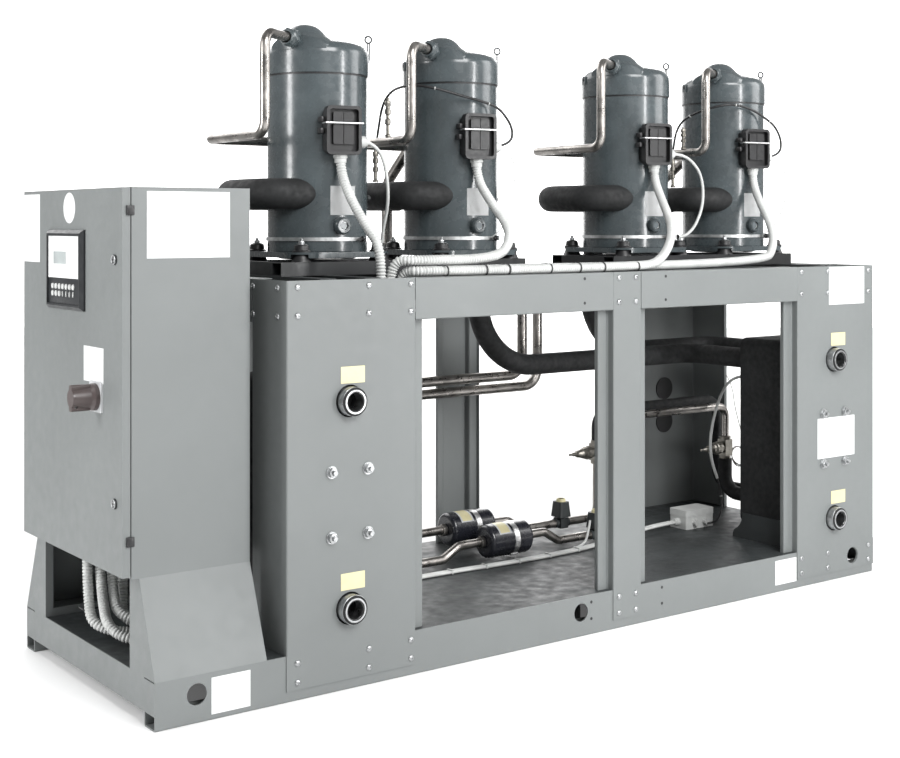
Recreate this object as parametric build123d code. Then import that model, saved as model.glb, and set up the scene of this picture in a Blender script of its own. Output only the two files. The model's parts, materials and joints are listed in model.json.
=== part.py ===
from build123d import *
import os

os.makedirs("parts", exist_ok=True)

# Water chiller. Millimetres, +Z up, +X along the row of compressors, front face
# towards -Y. Everything is drawn from the base's front left corner at ground level
# and moved once, in save(), so that the origin is the centre of the base on the ground.

# base
base_length = 2700.0
base_width = 860.0
base_height = 118.0
beam_sheet = 4.0
beam_flange = 60.0
beam_lip = 35.0
end_beam_bottom = 35.0
pan_thickness = 3.0
lifting_hole_r = 26.5
lifting_hole_z = 71.0
lifting_hole_step = 1240.0
mount_hole_r = 7.0
mount_hole_x = 1180.0
cross_member_width = 100.0

# frame
deck_top = 1069.0
frame_left = 358.0
frame_right = 2703.0
sheet = 2.5
bend = 4.0
panel_width = 398.0
panel_bottom = 28.0
end_return = 180.0
lip = 16.0
landing_depth = 22.0
landing_width = 40.0
landing_lip = 37.0
post_left = 1476.0
post_right = 1591.0
back_post_left = 1456.0
back_post_right = 1571.0
back_landing_width = 32.5
top_beam_height = 114.0
top_beam_flange = 60.0
deck_member_x = (520.0, 660.0, 850.0, 1105.0, 1345.0, 1700.0, 1850.0, 2080.0, 2230.0, 2560.0)
cable_hole_x = 2540.0
cable_hole_z = (441.0, 570.0)
cable_hole_r = 43.0

# compressors
compressor_x = (708.0, 1190.0, 1930.0, 2410.0)
compressor_y = base_width / 2
shell_r = 145.0
shell_bottom = 1124.0
cap_seam = 1642.0
cap_r = 149.0
cap_shoulder = 1700.0
shell_top = 1757.0
hump_top = 1780.0
hump_offset = 80.0
stub_z = 1735.0
stub_direction = (-0.84, -0.545, 0.0)
foot_spacing = 257.0
rail_top = 1107.0
rail_width = 51.0
foot_plate_z = 1128.0
foot_plate = 330.0
terminal_box_size = (105.0, 84.0, 137.0)
terminal_box_z = 1476.0
terminal_box_place = (-18.0, -148.0)
terminal_rim = 26.0
terminal_recess = 16.0
terminal_box_turn = -10.0

# pipes
discharge_d = 28.0
discharge_common_d = 35.0
discharge_z = 1458.0
discharge_header_y = 600.0
suction_d = 70.0
suction_branch_d = 88.0
suction_z = 1298.0
suction_header_y = 630.0
suction_side = -78.0
suction_branch_x = -205.0
liquid_d = 28.0
front_liquid_y = 520.0
back_liquid_y = 650.0
drier_r = 54.0

# water connections and heat exchangers
port_x = (547.0, 2492.0)
port_z = (212.0, 752.0)
port_r = 37.6
port_bore_r = 24.5
port_out = 32.0
exchanger_width = 330.0
exchanger_front = 30.0
exchanger_back = 270.0
exchanger_bottom = 168.0
exchanger_top = 815.0
stud_z = (402.0, 571.0)
stud_offset = 56.0
stud_r = 6.0

# cabinet
cabinet_x0 = -20.0
cabinet_x1 = 303.0
cabinet_y0 = 90.0
cabinet_y1 = 770.0
cabinet_z0 = 350.0
cabinet_z1 = 1304.0
cabinet_sheet = 2.0
door_gap = 2.0
door_thickness = 21.0
hinge_y = 777.0
hinge_z = (520.0, 1110.0)
handle_y = 247.0
handle_z = 781.0

# conduits
conduit_d = 28.0
floor_cable_d = 11.0
hose_d = 8.0
sensor_cable_d = 10.0
heater_wire_d = 4.0


def block(x0, x1, y0, y1, z0, z1):
    """A box given by its limits."""
    middle = Pos((x0 + x1) / 2, (y0 + y1) / 2, (z0 + z1) / 2)
    return middle * Box(x1 - x0, y1 - y0, z1 - z0)


def rod(start, direction, radius, length):
    """A cylinder that starts at a point and runs along a direction."""
    return extrude(Plane(origin=start, z_dir=direction) * Circle(radius), length)


def tube(points, diameter, radius=None):
    """A round line along straight runs, with tangent arcs of one radius or one per corner."""
    corners = [Vector(*point) for point in points]
    radii = radius if isinstance(radius, tuple) else (radius,) * (len(points) - 2)
    start = corners[0]
    pieces = []
    for before, corner, after, given in zip(corners, corners[1:], corners[2:], radii):
        arriving = (corner - before).normalized()
        leaving = (after - corner).normalized()
        half_cosine = (arriving + leaving).length / 2
        half_tangent = (leaving - arriving).length / 2 / half_cosine
        shorter_run = min((corner - before).length, (after - corner).length)
        reach = given * half_tangent if given else 0.45 * shorter_run
        bend_radius = reach / half_tangent
        inward = (leaving - arriving).normalized()
        middle = corner + inward * (bend_radius / half_cosine - bend_radius)
        arc_start = corner - arriving * reach
        arc_end = corner + leaving * reach
        pieces += [Line(start, arc_start), ThreePointArc(arc_start, middle, arc_end)]
        start = arc_end
    pieces.append(Line(start, corners[-1]))
    ring = Plane(origin=points[0], z_dir=corners[1] - corners[0]) * Circle(diameter / 2)
    return sweep(ring, path=Wire(pieces))


def folded(points, height, z0, thickness=sheet, radius=bend, side=Side.LEFT):
    """Bent sheet: its outline in plan, given thickness and stood up from z0."""
    band = offset(FilletPolyline(*points, radius=radius), amount=thickness, side=side)
    return Pos(0, 0, z0) * extrude(make_face(band), height)


def channel(points, x0, x1, thickness=sheet, radius=bend, side=Side.LEFT):
    """Bent sheet whose outline lies across the frame (Y, Z), run from x0 to x1."""
    band = offset(FilletPolyline(*points, radius=radius), amount=thickness, side=side)
    return Pos(x0, 0, 0) * extrude(Plane.YZ * make_face(band), x1 - x0)


def group(*shapes):
    """Solids that stay apart, kept as one piece."""
    return Compound([solid for shape in shapes for solid in shape.solids()])


def mirror_y(shape):
    """The same piece on the other long side."""
    return mirror(shape, about=Plane(origin=(0, base_width / 2, 0), z_dir=(0, 1, 0)))


def mirror_x(shape, middle=base_length / 2):
    """The same piece at the other end."""
    return mirror(shape, about=Plane(origin=(middle, 0, 0), z_dir=(1, 0, 0)))


nodes = {}


def save(name, shape):
    """Keep a piece, moved to the frame whose origin is the centre of the base."""
    nodes[name] = Pos(-base_length / 2, -base_width / 2, 0) * shape


# base
under_pan = base_height - pan_thickness


def base_beam():
    """Long C-beam with an upturned lip, lifting holes and holes for mounts."""
    t = beam_sheet
    c_points = [
        (beam_flange, beam_lip), (beam_flange, 0), (0, 0),
        (0, under_pan), (beam_flange, under_pan),
    ]
    beam = channel(c_points, 0, base_length, t, 5, Side.RIGHT)
    beam += block(0, base_length, 0, t, under_pan - 6, base_height)
    for k in (-1, 0, 1):
        x = base_length / 2 + k * lifting_hole_step
        beam -= rod((x, -1, lifting_hole_z), (0, 1, 0), lifting_hole_r, t + 2)
    for k in (-1, 1):
        x = base_length / 2 + k * mount_hole_x
        beam -= rod((x, beam_flange / 2, -1), (0, 0, 1), mount_hole_r, t + 2)
    return beam


def base_end_beam():
    """Angle that closes the end above the open ends of the long beams."""
    y0 = beam_flange + 1
    angle = block(0, 3, y0, base_width - y0, end_beam_bottom, base_height)
    angle += block(0, 3, beam_sheet, base_width - beam_sheet, end_beam_bottom,
                   under_pan - beam_sheet)
    return angle + block(3, 40, y0, base_width - y0, end_beam_bottom, end_beam_bottom + 3)


def cross_member():
    middle = base_length / 2
    half = cross_member_width / 2
    y0, y1 = beam_flange, base_width - beam_flange
    box = block(middle - half, middle + half, y0, y1, 0, under_pan)
    return box - block(middle - half + 4, middle + half - 4, y0 - 1, y1 + 1, 4, under_pan - 4)


front_beam = base_beam()
save("base_front_beam", front_beam)
save("base_back_beam", mirror_y(front_beam))
save("base_left_end_beam", base_end_beam())
save("base_right_end_beam", mirror_x(base_end_beam()))
save("base_mid_cross_member", cross_member())
save("floor_pan", block(3, base_length - 3, beam_sheet, base_width - beam_sheet,
                        under_pan, base_height))

# frame
frame_middle = (frame_left + frame_right) / 2
panel_edge = frame_left + panel_width


def landing(x, outward, width=landing_width):
    """Points of a shallow side and the landing for a cover beside it."""
    edge = x + outward * width
    return [(x, -sheet), (x, landing_depth), (edge, landing_depth), (edge, landing_lip)]


def under_top_beam(x0, x1):
    """Room that the top beam takes from a landing."""
    return block(x0, x1, -sheet - 1, landing_lip + 1, deck_top - top_beam_height, deck_top + 1)


def corner_panel():
    """Front left corner: face lapping over the base, returns on both edges."""
    end = [(frame_left + lip, end_return), (frame_left, end_return), (frame_left, -sheet)]
    outline = end + landing(panel_edge, 1)
    upper = folded(outline, deck_top - base_height, base_height)
    upper -= under_top_beam(panel_edge, panel_edge + landing_width + 1)
    lap = block(frame_left, panel_edge, -sheet, 0, panel_bottom, base_height)
    return upper + lap


def with_port_holes(panel, x):
    """Clearance holes for the two water connections and the studs."""
    for z in port_z:
        panel -= rod((x, -sheet - 1, z), (0, 1, 0), port_r + 5, sheet + 2)
    for z in stud_z:
        for dx in (-stud_offset, stud_offset):
            panel -= rod((x + dx, -sheet - 1, z), (0, 1, 0), stud_r + 1.5, sheet + 2)
    return panel


def mid_post(left, right, width):
    """Folded post between two openings, with a landing on both sides."""
    outline = landing(left, -1, width)[::-1] + landing(right, 1, width)
    post = folded(outline, deck_top - base_height, base_height)
    post -= under_top_beam(left - width - 1, left)
    post -= under_top_beam(right, right + width + 1)
    return post + block(left, right, -sheet, 0, panel_bottom, base_height)


def top_beam(x0, x1):
    """C-beam between a corner panel and the mid post, lips turned in."""
    low, high = deck_top - top_beam_height, deck_top
    c_points = [
        (top_beam_flange, low + lip), (top_beam_flange, low), (-sheet, low),
        (-sheet, high), (top_beam_flange, high), (top_beam_flange, high - lip),
    ]
    return channel(c_points, x0, x1, side=Side.RIGHT)


def top_end_beam():
    """Angle across the open end, under the deck."""
    y0, y1 = end_return, base_width - end_return
    web = block(frame_left, frame_left + sheet, y0, y1, deck_top - top_beam_height, deck_top)
    return web + block(frame_left, frame_left + top_beam_flange, y0, y1, deck_top - sheet, deck_top)


def deck_member(x):
    """Channel across the frame, open downwards."""
    y0, y1 = top_beam_flange + 1, base_width - top_beam_flange - 1
    bar = block(x - 25, x + 25, y0, y1, deck_top - 40, deck_top)
    return bar - block(x - 22, x + 22, y0 - 1, y1 + 1, deck_top - 41, deck_top - 3)


def rail_frame(x0, x1):
    """Hollow rails under two compressors, joined by bars at both ends."""
    y_front = compressor_y - foot_spacing / 2 - rail_width / 2
    y_back = compressor_y + foot_spacing / 2 - rail_width / 2
    frame = block(x0, x1, y_front, y_front + rail_width, deck_top, rail_top)
    frame += block(x0, x1, y_back, y_back + rail_width, deck_top, rail_top)
    for y in (y_front, y_back):
        frame -= block(x0 - 1, x1 + 1, y + 3, y + rail_width - 3, deck_top + 3, rail_top - 3)
    for x in (x0, x1 - 40):
        frame += block(x, x + 40, y_front + rail_width, y_back, deck_top, rail_top)
    return frame


def cable_plug(z):
    """Rubber blank in a cable hole, its rim outside the panel."""
    outer = base_width + sheet
    plug = rod((cable_hole_x, outer - 6, z), (0, 1, 0), cable_hole_r - 0.3, 8)
    return plug + rod((cable_hole_x, outer + 0.2, z), (0, 1, 0), cable_hole_r + 6, 5)


front_left = corner_panel()
front_right = mirror_x(front_left, frame_middle)
front_right += block(frame_right - sheet, frame_right, -sheet, end_return,
                     panel_bottom, base_height)
lifting_x = base_length / 2 + lifting_hole_step
front_right -= rod((lifting_x, -sheet - 1, lifting_hole_z), (0, 1, 0),
                   lifting_hole_r + 1.5, sheet + 2)
back_right = mirror_y(front_right)
for z in cable_hole_z:
    back_right -= rod((cable_hole_x, base_width - 1, z), (0, 1, 0), cable_hole_r, sheet + 2)
save("corner_panel_front_left", with_port_holes(front_left, port_x[0]))
save("corner_panel_front_right", with_port_holes(front_right, port_x[1]))
save("corner_panel_back_left", mirror_y(front_left))
save("corner_panel_back_right", back_right)
save("cable_plugs", group(*[cable_plug(z) for z in cable_hole_z]))
save("mid_post_front", mid_post(post_left, post_right, landing_width))
save("mid_post_back", mirror_y(mid_post(back_post_left, back_post_right, back_landing_width)))
save("top_beams_front", group(top_beam(panel_edge, post_left),
                              top_beam(post_right, frame_right - panel_width)))
save("top_beams_back", mirror_y(group(top_beam(panel_edge, back_post_left),
                                      top_beam(back_post_right, frame_right - panel_width))))
save("top_end_beam_left", top_end_beam())
save("top_end_beam_right", mirror_x(top_end_beam(), frame_middle))
save("deck_cross_members", group(*[deck_member(x) for x in deck_member_x]))
save("compressor_rails", group(rail_frame(500, 1365), rail_frame(1735, 2600)))

# compressors
half_spacing = foot_spacing / 2
feet = [(sx * half_spacing, sy * half_spacing) for sx in (-1, 1) for sy in (-1, 1)]


def rubber_mount(x, y):
    """Bell-shaped rubber foot under one corner of a compressor."""
    height = foot_plate_z - rail_top
    bell = Cone(30, 21, height, align=(Align.CENTER, Align.CENTER, Align.MIN))
    return Pos(x, y, rail_top) * bell


def barrel():
    """Shell, seam, cap and gently sloping dome, turned about the axis."""
    base_z = shell_bottom - 12
    wall = Polyline(
        (0, base_z), (shell_r - 40, base_z), (shell_r - 6, shell_bottom),
        (shell_r, shell_bottom + 12), (shell_r, cap_seam), (cap_r, cap_seam),
        (cap_r, cap_shoulder),
    )
    shoulder = RadiusArc((cap_r, cap_shoulder), (cap_r - 26, cap_shoulder + 33), -34)
    dome = Spline((cap_r - 26, cap_shoulder + 33), (60, shell_top - 6), (0, shell_top))
    axis = Line((0, shell_top), (0, base_z))
    return revolve(make_face(Plane.XZ * (wall + shoulder + dome + axis)), Axis.Z)


def hump():
    """S-shaped rise of the cap above the discharge port."""
    low = cap_shoulder - 30
    crest = Spline((0, hump_top), (30, hump_top - 2), (48, hump_top - 14), (62, hump_top - 28),
                   (80, hump_top - 42), (95, hump_top - 60))
    sides = Polyline((95, hump_top - 60), (95, low), (0, low), (0, hump_top))
    rise = revolve(make_face(Plane.XZ * (crest + sides)), Axis.Z)
    rise = Pos(stub_direction[0] * hump_offset, stub_direction[1] * hump_offset, 0) * rise
    return rise & Pos(0, 0, cap_shoulder) * Cylinder(cap_r - 1, 200)


def foot_frame():
    """Pressed plate under the shell, its skirt cut out round the four feet."""
    half_skirt = Box(foot_plate, foot_plate, 10)
    outer = fillet(half_skirt.edges().filter_by(Axis.Z), 60)
    inner = fillet(Box(foot_plate - 6, foot_plate - 6, 12).edges().filter_by(Axis.Z), 57)
    skirt = Pos(0, 0, foot_plate_z - 5) * (outer - inner)
    for x, y in feet:
        skirt -= Pos(x, y, foot_plate_z - 5) * Cylinder(33, 10)
    plate = Pos(0, 0, foot_plate_z + 3) * Box(foot_plate, foot_plate, 6)
    return skirt + fillet(plate.edges().filter_by(Axis.Z), 60)


def shell_body():
    """Barrel with its hump, discharge stub, foot plate, bolts, sight glass and lugs."""
    body = barrel() + hump() + foot_frame()
    up = (Align.CENTER, Align.CENTER, Align.MIN)
    for radius, length in ((24, 120), (20, 138), (17, 158)):
        body += rod((0, 0, stub_z), stub_direction, radius, length)
    nut = Plane(origin=Vector(*stub_direction) * 140 + Vector(0, 0, stub_z),
                z_dir=stub_direction) * RegularPolygon(25, 6)
    body += extrude(nut, 12)
    for x, y in feet:
        body += Pos(x, y, foot_plate_z + 6) * Cylinder(14, 3, align=up)
        body += Pos(x, y, foot_plate_z + 9) * extrude(RegularPolygon(10, 6), 9)
    glass = rod((0, 0, 1208), (-0.06, -1, 0), 25, 156)
    glass += rod((0, 0, 1208), (-0.06, -1, 0), 20, 164)
    body += glass - rod(Vector(-0.06, -1, 0) * 158 + Vector(0, 0, 1208), (-0.06, -1, 0), 13, 12)
    for angle in (-20, 160):
        lug = Rot(0, 0, angle) * Pos(cap_r - 1, 0, cap_shoulder - 2) * Box(10, 24, 26)
        body += lug - Rot(0, 0, angle) * Pos(cap_r, 0, cap_shoulder) * Rot(0, 90, 0) * Cylinder(6, 30)
    return body


def terminal_place(z=0):
    """Where a terminal box stands on its shell."""
    return Pos(*terminal_box_place, terminal_box_z + z) * Rot(0, 0, terminal_box_turn)


def terminal_box():
    """Moulded box: a rim round a deep recess with a split lid block, on a narrower back."""
    width, depth, height = terminal_box_size
    rim = fillet(Box(width, terminal_rim, height).edges().filter_by(Axis.Y), 14)
    back = fillet(Box(width - 13, depth, height - 19).edges().filter_by(Axis.Y), 10)
    recess = fillet(Box(width - 18, terminal_recess, height - 18).edges().filter_by(Axis.Y), 8)
    front = -depth / 2
    box = back + Pos(0, front + terminal_rim / 2, 0) * rim
    box -= Pos(0, front + terminal_recess / 2, 0) * recess
    block_z = 6
    lid = fillet(Box(62, 10, 90).edges().filter_by(Axis.Y), 5) - Box(2, 12, 92)
    lid += Pos(0, 2, 0) * Box(60, 6, 88)
    box += Pos(0, front + terminal_recess - 5, block_z) * lid
    return terminal_place() * box - Pos(0, 0, 1400) * Cylinder(shell_r, 600)


def terminal_plug():
    """Round connector on the right side of a terminal box."""
    half = terminal_box_size[0] / 2
    plug = rod((half, -4, 0), (1, 0, 0), 17, 24) + rod((half, -4, 0), (1, 0, 0), 13, 31)
    return terminal_place(-30) * plug


def heater_band():
    """Clamped strap round the foot of a shell."""
    ring = Cylinder(shell_r + 4, 10) - Cylinder(shell_r, 12)
    ring += block(70, 92, -shell_r - 9, -shell_r + 16, -8, 8) - Cylinder(shell_r, 20)
    return Pos(0, 0, 1170) * ring


def at_compressor(shape, x):
    return Pos(x, compressor_y, 0) * shape


compressors = [at_compressor(shell_body(), x) for x in compressor_x]
for number, (x, compressor) in enumerate(zip(compressor_x, compressors), 1):
    save(f"compressor_{number}", compressor)
    save(f"terminal_box_{number}", at_compressor(terminal_box(), x))
save("rubber_mounts", group(*[rubber_mount(x + fx, compressor_y + fy)
                              for x in compressor_x for fx, fy in feet]))
save("terminal_plugs", group(*[at_compressor(terminal_plug(), x) for x in compressor_x]))
save("heater_bands", group(*[at_compressor(heater_band(), x) for x in compressor_x]))


# discharge lines
def discharge_branch(x, end_x=None):
    """From the stub up and over, down beside the shell and back to the header."""
    start = (x + stub_direction[0] * 158, compressor_y + stub_direction[1] * 158, stub_z)
    outer = (x - 270, compressor_y - 175)
    points = [start, (*outer, stub_z), (*outer, discharge_z),
              (outer[0], discharge_header_y, discharge_z)]
    if end_x:
        points.append((end_x, discharge_header_y, discharge_z))
    return tube(points, discharge_d, 40)


def discharge_line(pair, riser_x, run_y, drop_x, run_z, port):
    """Both branches of a circuit, their riser and the run to the condenser."""
    under_deck = 1005
    line = discharge_branch(pair[0], riser_x + 30) + discharge_branch(pair[1])
    points = [
        (riser_x, discharge_header_y, discharge_z), (riser_x, run_y, 1345),
        (riser_x, run_y, under_deck), (drop_x, run_y, under_deck), (drop_x, run_y, run_z),
        (port, run_y, run_z), (port, exchanger_back, run_z),
    ]
    return line + tube(points, discharge_common_d, 60)


save("discharge_line_1", discharge_line(compressor_x[:2], 1152, 730, 1720, 686, 450))
save("discharge_line_2", discharge_line(compressor_x[2:], 2400, 765, 1818, 640, 640))


# suction lines
def suction_branch(x, end_x=None, diameter=suction_branch_d):
    """Insulated branch from the side of a shell back to the header."""
    y = compressor_y + suction_side
    branch_x = x + suction_branch_x
    points = [(x - 70, y, suction_z), (branch_x, y, suction_z),
              (branch_x, suction_header_y, suction_z)]
    if end_x:
        points.append((end_x, suction_header_y, suction_z))
    return tube(points, diameter, 80)


def suction_line(pair, drop_x, run_y, run_z, port):
    """Both branches of a circuit, the drop through the deck and the run to its port."""
    y = suction_header_y
    meet = pair[1] - 60
    line = suction_branch(pair[0], meet)
    line += suction_branch(pair[1], diameter=suction_branch_d - 2)
    points = [
        (meet, y, suction_z), (drop_x, y, suction_z), (drop_x, y, 1170),
        (drop_x, run_y, 1000), (drop_x, run_y, run_z), (port, run_y, run_z),
        (port, exchanger_back, run_z),
    ]
    return line + tube(points, suction_d, (78, 78, 78, 227, 78))


suction_1 = suction_line(compressor_x[:2], 1408, 575, 738, 2390)
suction_2 = suction_line(compressor_x[2:], 1975, 664, 750, 2595)
save("suction_line_1", suction_1 - compressors[0] - compressors[1])
save("suction_line_2", suction_2 - compressors[2] - compressors[3])


# heat exchangers
def exchanger(x):
    """Insulated plate pack with rounded edges, water connections and wall studs."""
    half = exchanger_width / 2
    pack = block(x - half, x + half, exchanger_front, exchanger_back,
                 exchanger_bottom, exchanger_top)
    pack = fillet(pack.edges().filter_by(Axis.Y), 30)
    front = (0, -1, 0)
    for z in port_z:
        pipe = rod((x, exchanger_front, z), front, port_r, exchanger_front + port_out)
        rim = pipe.edges().filter_by(GeomType.CIRCLE).sort_by(Axis.Y)[0]
        pack += chamfer(rim, 4)
        pack -= rod((x, -port_out - 1, z), (0, 1, 0), port_bore_r, 60)
    for dx in (-stud_offset, stud_offset):
        for z in stud_z:
            pack += rod((x + dx, exchanger_front, z), front, stud_r, exchanger_front + 18)
    return pack


def exchanger_stand(x, back):
    """Folded cradle with concave cheeks on the floor pan, as deep as given."""
    half = exchanger_width / 2
    floor = base_height
    front = 50
    cheek_top = floor + 90
    cradle = block(x - half - 3, x + half + 3, front, back, floor, floor + 3)
    for y in (70, 200):
        cradle += block(x - half - 3, x + half + 3, y, y + 40, floor + 3, exchanger_bottom)
        cradle -= block(x - half - 4, x + half + 4, y + 3, y + 37, floor + 3, exchanger_bottom - 3)
    corners = Polyline((front, floor), (back, floor), (back, floor + 12),
                       (back - 38, cheek_top), (front, cheek_top), close=True)
    cheek = extrude(make_face(Plane.YZ * corners), 3)
    cheek -= rod((-1, back + 18, cheek_top - 6), (1, 0, 0), 62, 5)
    for side_x in (x - half - 6, x + half + 3):
        cradle += Pos(side_x, 0, 0) * cheek
    return cradle


save("condenser", exchanger(port_x[0]))
save("evaporator", exchanger(port_x[1]))
save("exchanger_stands", group(exchanger_stand(port_x[0], 244), exchanger_stand(port_x[1], 300)))


# liquid lines
def drier(x0, x1, y, z):
    """Filter drier: drum with domed ends and necks."""
    length = x1 - x0
    drum = Pos(x0 + 18, y, z) * Rot(0, 90, 0) * Cylinder(
        drier_r, length - 36, align=(Align.CENTER, Align.CENTER, Align.MIN))
    drum = fillet(drum.edges(), 14)
    return drum + rod((x0, y, z), (1, 0, 0), 15, length)


def solenoid_valve(x, y, z):
    """Valve body on the pipe, its tapered coil housing and the cap."""
    body = Pos(x, y, z) * Box(34, 40, 34)
    body += rod((x - 30, y, z), (1, 0, 0), 16, 60)
    foot = Plane(origin=(x, y, z + 22)) * RectangleRounded(52, 56, 8)
    crown = Plane(origin=(x, y, z + 74)) * RectangleRounded(42, 46, 8)
    coil = loft([foot, crown])
    body += rod((x, y, z), (0, 0, 1), 12, 30) + coil
    return body + rod((x, y, z + 74), (0, 0, 1), 12, 9)


def expansion_valve(x, y, z, head):
    """Angle valve: upright body, power head and side stem."""
    body = Pos(x, y, z) * Box(36, 40, 60) + rod((x, y, z - 42), (0, 0, 1), 14, 84)
    body += rod((x, y, z), head, 14, 56)
    side = Vector(*head) * 30 + Vector(x, y, z)
    return body + rod(side, head, 21, 20) + rod(side, head, 7, 34)


front_drier = (1370.0, 1578.0, front_liquid_y, 181.0)
back_drier = (1312.0, 1524.0, back_liquid_y, 205.0)
front_solenoid = (1878.0, front_liquid_y, 145.0)
back_solenoid = (1830.0, back_liquid_y, 168.0)
front_valve = (2519.0, front_liquid_y, 385.0)
back_valve = (1997.0, back_liquid_y, 400.0)


def liquid_line_1():
    """Condenser to the front drier, its solenoid and the expansion valve at the right."""
    y = front_liquid_y
    d = liquid_d
    port = (450, exchanger_back, 232)
    first = tube([port, (450, y, 232), (585, y, 232), (675, y, 145), (1225, y, 145),
                  (1290, y, front_drier[3]), (front_drier[0], y, front_drier[3])], d, 38)
    second = tube([(front_drier[1], y, front_drier[3]), (1645, y, front_drier[3]),
                   (1705, y, front_solenoid[2]), (front_solenoid[0] - 30, y, front_solenoid[2])],
                  d, 38)
    third = tube([(front_solenoid[0] + 30, y, front_solenoid[2]), (1960, y, front_solenoid[2]), (1960, y, 538),
                  (front_valve[0], y, 538), (front_valve[0], y, front_valve[2] + 42)], d, 40)
    return group(first, second, third)


def liquid_line_2():
    """Condenser to the back drier, its solenoid and the expansion valve by the mid post."""
    y = back_liquid_y
    d = liquid_d
    port = (640, exchanger_back, 232)
    first = tube([port, (640, y, 232), (1150, y, 232), (1200, y, back_drier[3]),
                  (back_drier[0], y, back_drier[3])], d, 38)
    second = tube([(back_drier[1], y, back_drier[3]), (1590, y, back_drier[3]),
                   (1650, y, back_solenoid[2]), (back_solenoid[0] - 30, y, back_solenoid[2])],
                  d, 38)
    third = tube([(back_solenoid[0] + 30, y, back_solenoid[2]), (back_valve[0], y, back_solenoid[2]),
                  (back_valve[0], y, back_valve[2] - 42)], d, 40)
    return group(first, second, third)


def feed_lines():
    """Insulated pipes from the expansion valves to the evaporator's lower ports."""
    x, y, z = front_valve
    front = tube([(x, y, z - 42), (x, y, 222), (x, exchanger_back, 222)], 50, 60)
    x, y, z = back_valve
    end_x = 2612
    back = tube([(x, y, z + 42), (x, y, 545), (end_x, y, 545), (end_x, y, 222),
                 (end_x, exchanger_back, 222)], 36, 60)
    return group(front, back)


save("filter_drier_1", drier(*front_drier))
save("filter_drier_2", drier(*back_drier))
save("solenoid_valves", group(solenoid_valve(*front_solenoid), solenoid_valve(*back_solenoid)))
save("expansion_valves", group(expansion_valve(*front_valve, (-1, 0, 0)),
                               expansion_valve(*back_valve, (-1, 0, 0))))
save("liquid_line_1", liquid_line_1())
save("liquid_line_2", liquid_line_2())
save("evaporator_feed_lines", feed_lines())


def junction_box():
    """Box with a lid line and a gland at each end."""
    x0, x1, y0, y1 = 2262, 2400, 466, 550
    z0 = base_height
    box = fillet(block(x0, x1, y0, y1, z0, z0 + 44).edges().filter_by(Axis.Z), 6)
    box += fillet(block(x0 - 1.5, x1 + 1.5, y0 - 1.5, y1 + 1.5, z0 + 44, z0 + 67)
                  .edges().filter_by(Axis.Z), 7)
    box += rod((x0, 508, z0 + 24), (-1, 0, 0), 13, 22)
    for x in (2300, 2350):
        box += rod((x, y0, z0 + 22), (0, -1, 0), 9, 16)
    return box


save("junction_box", junction_box())


# cabinet
door_inner = cabinet_x0 - door_gap
door_outer = door_inner - door_thickness
door_y0 = cabinet_y0 + 2
door_y1 = cabinet_y1 - 5
door_z0 = cabinet_z0 + 5
door_z1 = cabinet_z1 - 1
hinge_x = cabinet_x0 - 1


def cabinet_body():
    """Sheet box, open towards the door inside a flange, with its half of the hinges."""
    t = cabinet_sheet
    body = block(cabinet_x0, cabinet_x1, cabinet_y0, cabinet_y1, cabinet_z0, cabinet_z1)
    body -= block(cabinet_x0 + t, cabinet_x1 - t, cabinet_y0 + t, cabinet_y1 - t,
                  cabinet_z0 + t, cabinet_z1 - t)
    body -= block(cabinet_x0 - 1, cabinet_x0 + t + 1, cabinet_y0 + 25, cabinet_y1 - 25,
                  cabinet_z0 + 25, cabinet_z1 - 25)
    for z in hinge_z:
        body += block(hinge_x + 5, cabinet_x0 + 30, cabinet_y1, cabinet_y1 + 3, z - 30, z + 30)
        body += block(hinge_x, hinge_x + 7, hinge_y - 6, hinge_y - 4, z - 30, z)
        body += rod((hinge_x, hinge_y, z - 30), (0, 0, 1), 6, 30)
        body += rod((hinge_x, hinge_y, z), (0, 0, 1), 3, 28)
    return body


def cabinet_door():
    """Pan-shaped door with its half of the hinges."""
    door = block(door_outer, door_inner, door_y0, door_y1, door_z0, door_z1)
    door -= block(door_outer + 2, door_inner + 1, door_y0 + 2, door_y1 - 2,
                  door_z0 + 2, door_z1 - 2)
    door -= rod((door_outer - 1, handle_y, handle_z), (1, 0, 0), 10, 5)
    for z in hinge_z:
        door += block(door_inner - 9, door_inner - 6, door_y1 - 1, hinge_y - 5.4, z + 0.5, z + 28)
        knuckle = rod((hinge_x, hinge_y, z + 0.5), (0, 0, 1), 6, 27.5)
        arm = block(door_inner - 9, hinge_x, hinge_y - 6, hinge_y - 3.5, z + 0.5, z + 28)
        door += knuckle + arm
        door -= rod((hinge_x, hinge_y, z), (0, 0, 1), 3.06, 30)
    return door


def mounting_plate():
    """Plate inside the cabinet on four stand-offs."""
    x = cabinet_x1 - 42
    plate = block(x, x + 3, cabinet_y0 + 50, cabinet_y1 - 50, cabinet_z0 + 70, cabinet_z1 - 70)
    for y in (cabinet_y0 + 90, cabinet_y1 - 90):
        for z in (cabinet_z0 + 110, cabinet_z1 - 110):
            plate += rod((x + 3, y, z), (1, 0, 0), 6, 42 - 3 - cabinet_sheet)
    return plate


def display_panel():
    """Bevelled frame with a sunk face."""
    frame = block(door_outer - 14, door_outer, 322, 566, 990, 1198)
    frame = chamfer(frame.faces().sort_by(Axis.X)[0].edges(), 9)
    return frame - block(door_outer - 15, door_outer - 10, 336, 552, 1004, 1184)


def isolator_plate():
    plate = block(door_outer - 5, door_outer, handle_y - 38, handle_y + 38,
                  handle_z - 38, handle_z + 38)
    plate = fillet(plate.edges().filter_by(Axis.X), 6)
    return plate - rod((door_outer - 6, handle_y, handle_z), (1, 0, 0), 10, 7)


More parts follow.
